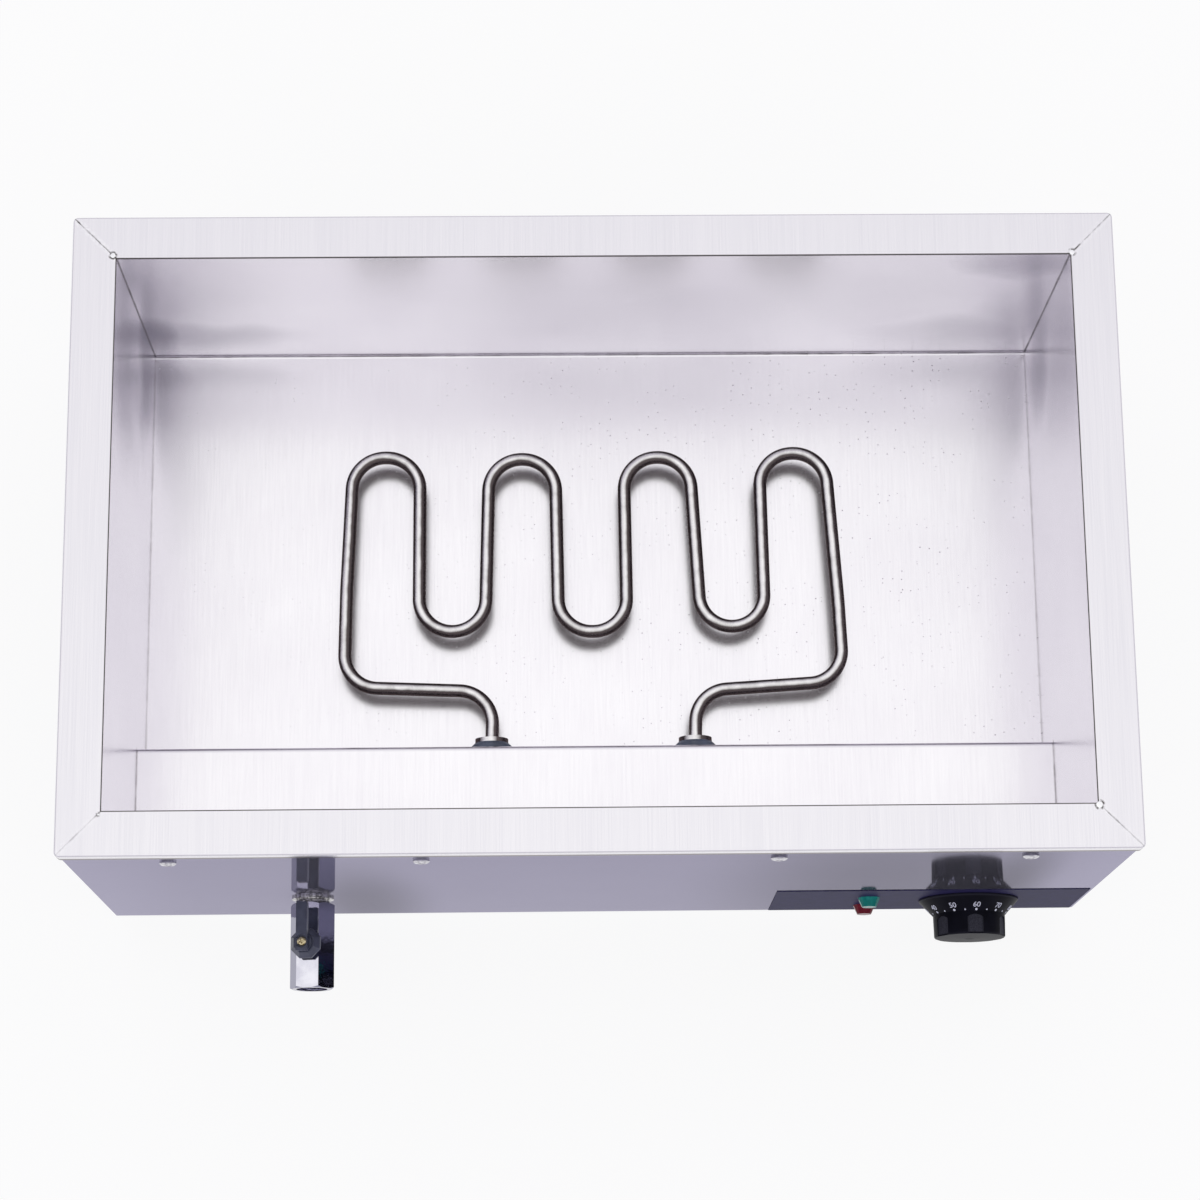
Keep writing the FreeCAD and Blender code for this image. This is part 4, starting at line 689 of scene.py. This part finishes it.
def helixThread(look, pitch=1.814, turns=72):  # along -Y round the drain's axis
    count = int(abs(look["to"] - look["from"]) / pitch * turns)
    run = abs(look["to"] - look["from"]) - pitch * 0.9
    points, faces = [], []
    for step in range(count + 1):
        a = 2 * math.pi * step / turns
        fade = min(1, step / 10, (count - step) / 10)
        y = look["from"] - run * step / count - pitch * 0.45
        crest = look["root"] + (look["crest"] - look["root"]) * fade
        for r, shift in ((look["root"], 0.42), (crest, 0.09), (crest, -0.09), (look["root"], -0.42)):
            points.append((drainPlace[0] + r * math.cos(a), y + shift * pitch,
                           drainPlace[2] + r * math.sin(a)))
        if step:
            k = 4 * step
            faces += [(k - 4 + e, k - 3 + e, k + 1 + e, k + e) for e in range(3)]
            faces.append((k - 1, k - 4, k, k + 3))
    return points, faces + [(0, 1, 2, 3), tuple(4 * count + e for e in range(4))]


for name, look in threadLooks.items():
    points, faces = helixThread(look)
    addPiece(name, points, faces, finishes[look["finish"]], "casing")
print("threads: %d" % len(threadLooks))

# The joints at the casing's four corners are filled with weld and ground level with both sheets.
seamLook = {"sides": (-297.4, 297.4), "faces": ((-165.2, 1), (203.2, -1)), "bend": 1.8, "foot": 14.0,
            "top": 253.0}


def cornerSeam(look, x, face, inward, arcs=6):  # the wedge between a panel's rounded bend and the side sheet
    hand, r = math.copysign(1, x), look["bend"]
    section = [(x, face), (x, face + inward * r)]
    for k in range(1, arcs + 1):
        a = math.pi / 2 * k / arcs
        section.append((x - hand * r * (1 - math.cos(a)), face + inward * r * (1 - math.sin(a))))
    count = len(section)
    points = [(px, py, z) for z in (look["foot"], look["top"]) for px, py in section]
    faces = [(k, (k + 1) % count, count + (k + 1) % count, count + k) for k in range(count)]
    return points, faces + [tuple(range(count)), tuple(range(count, 2 * count))]


for x in seamLook["sides"]:
    for face, inward in seamLook["faces"]:
        points, faces = cornerSeam(seamLook, x, face, inward)
        where = ("front" if inward > 0 else "back") + ("_left" if x < 0 else "_right")
        addPiece("ground_seam_" + where, points, faces, finishes["casing"], "casing")
print("seams: %d" % (len(seamLook["sides"]) * len(seamLook["faces"])))

# Temperatures printed round the dial's cone: digits stand with their heads to the panel, a large dot marks
# each, and a small one the half step. Angles are degrees clockwise from the top, seen from the front.
dialLook = {"skirtY": -166.7, "skirtR": 30.2, "coneY": -175.4, "coneR": 22.1,
            "temperatures": range(30, 111, 10), "sixtyAt": 4.0, "perTen": 34.0, "digits": 3.7,
            "digitFoot": 9.1, "dotAt": 10.95, "bigDot": 0.85, "smallDot": 0.55, "proud": 0.12}


def onCone(look, along, down, lift, angle):  # mm clockwise, from the skirt's edge, and outward
    rise, run = look["skirtY"] - look["coneY"], look["skirtR"] - look["coneR"]
    share = down / math.hypot(run, rise)
    outward = Vector((rise, run)).normalized()
    turn = math.radians(angle) + along / (look["skirtR"] - 3.0)
    r = look["skirtR"] - run * share + lift * outward.x
    y = look["skirtY"] - rise * share - lift * outward.y
    return (dialPlace[0] + r * math.sin(turn), y, dialPlace[2] + r * math.cos(turn))


def digitShape(text, height):  # the text's mesh, centred on X and standing on its base line
    curve = bpy.data.curves.new("temperature", "FONT")
    curve.body, curve.align_x, curve.space_character = text, "CENTER", 0.95
    curve.size = height / 0.7  # a digit is 0.7 of the font's size high
    curve.extrude, curve.resolution_u = 0.5, 3
    holder = bpy.data.objects.new("temperature", curve)
    mesh = bpy.data.meshes.new_from_object(holder)
    points = [tuple(v.co) for v in mesh.vertices]
    faces = [tuple(f.vertices) for f in mesh.polygons]
    bpy.data.objects.remove(holder)
    return points, faces


def dotShape(radius, count=16):
    points = [(radius * math.cos(2 * math.pi * k / count), radius * math.sin(2 * math.pi * k / count), z)
              for z in (-0.5, 0.5) for k in range(count)]
    faces = [(k, (k + 1) % count, count + (k + 1) % count, count + k) for k in range(count)]
    return points, faces + [tuple(range(count, 2 * count))]


def printOnDial(name, look, marks):  # marks: shape, distance down the cone, angle
    points, faces = [], []
    for (shape, sides), down, angle in marks:
        faces += shifted(sides, len(points))
        for x, y, z in shape:
            lift = look["proud"] * (0.5 + z) if z > 0 else -0.05
            points.append(onCone(look, x, down - y, lift, angle))
    addPiece(name, points, faces, finishes["pad_printed_ink"], "dial", smooth=False)


angles = {t: dialLook["sixtyAt"] + (t - 60) / 10 * dialLook["perTen"] for t in dialLook["temperatures"]}
halfSteps = [a + dialLook["perTen"] / 2 for a in list(angles.values())[:-1]]
printOnDial("dial_numbers", dialLook, [(digitShape(str(t), dialLook["digits"]), dialLook["digitFoot"], a)
                                       for t, a in angles.items()])
printOnDial("dial_dots", dialLook,
            [(dotShape(dialLook["bigDot"]), dialLook["dotAt"], a) for a in angles.values()]
            + [(dotShape(dialLook["smallDot"]), dialLook["dotAt"], a) for a in halfSteps])
print("dial: %d temperatures" % len(angles))

# A pale seamless floor, grey-violet walls, a white ceiling and a large soft panel overhead.
stageLook = {"floor": "#FBFBFC", "floorShade": "#F7F7F9", "floorHalf": 9.0, "glow": 0.88,
             "horizon": "#C8C5D0", "zenith": "#FFFFFF", "sky": 0.99, "walls": (0.1, 0.92, 0, 0.65),
             "ceiling": (0.925, 0.97, 0, 0.35), "panelSize": 7.5, "panelWatts": 20.0,
             "panelPlace": (-0.4, 0.3, 3.6)}


def paintedFloor(look):  # matt paint that glows a little, seen directly or mirrored, so it stays near white
    material, put, place = startMaterial("painted_floor")
    cloudy = put("TexNoise", [place, 1.4, 2.0])
    colour = put("Mix", [cloudy, look["floor"], look["floorShade"]], data_type="RGBA")
    seen = put("LightPath").node.outputs
    direct = put("Math", [seen["Is Camera Ray"], seen["Is Glossy Ray"]], operation="MAXIMUM")
    direct = put("Math", [direct, seen["Is Transmission Ray"]], operation="MAXIMUM")
    paint = put("BsdfDiffuse", [colour, 0.4])
    glow = put("Emission", ["#FFFFFF", 1.0])
    mixed = put("MixShader", [put("Math", [direct, look["glow"]], operation="MULTIPLY"), paint, glow])
    put("OutputMaterial", [mixed])
    return material


def buildStage(look):
    grid = bmesh.new()
    bmesh.ops.create_grid(grid, x_segments=8, y_segments=8, size=look["floorHalf"])
    mesh = bpy.data.meshes.new("floor")
    grid.to_mesh(mesh)
    grid.free()
    mesh.materials.append(paintedFloor(look))
    floor = bpy.data.objects.new("floor", mesh)
    bpy.context.scene.collection.objects.link(floor)

    world = bpy.data.worlds.new("studio")
    bpy.context.scene.world = world
    world.use_nodes = True
    world.node_tree.nodes.clear()
    put = partial(addNode, world.node_tree)
    height = put("SeparateXYZ", [put("TexCoord").node.outputs["Generated"]]).node.outputs["Z"]
    walls = put("MapRange", [height, *look["walls"]])
    rise = put("Math", [walls, put("MapRange", [height, *look["ceiling"]])], operation="ADD")
    sky = put("Mix", [rise, look["horizon"], look["zenith"]], data_type="RGBA")
    put("OutputWorld", [put("Background", [sky, look["sky"]])])

    panel = bpy.data.lights.new("overhead_panel", "AREA")
    panel.shape, panel.size, panel.energy = "SQUARE", look["panelSize"], look["panelWatts"]
    lamp = bpy.data.objects.new("overhead_panel", panel)
    lamp.location = look["panelPlace"]
    bpy.context.scene.collection.objects.link(lamp)


# The camera looks down over the front edge, its lens a little left of the middle.
cameraLook = {"place": (-0.0286981, -0.4368818, 1.9244877), "tilt": (0.2423072, -0.0149430, -0.0110484),
              "lens": 92.252}


def placeCamera(look):
    camera = bpy.data.cameras.new("camera")
    camera.lens, camera.sensor_width, camera.sensor_fit = look["lens"], 36.0, "HORIZONTAL"
    camera.clip_start, camera.clip_end = 0.05, 60.0
    holder = bpy.data.objects.new("camera", camera)
    aboutX, aboutY, aboutZ = look["tilt"]
    turn = Matrix.Rotation(aboutZ, 4, "Z") @ Matrix.Rotation(aboutY, 4, "Y") @ Matrix.Rotation(aboutX, 4, "X")
    holder.matrix_world = Matrix.Translation(Vector(look["place"])) @ turn
    bpy.context.scene.collection.objects.link(holder)
    bpy.context.scene.camera = holder


buildStage(stageLook)
placeCamera(cameraLook)
bpy.context.scene.view_settings.view_transform = "Standard"
print("stage, light and camera")
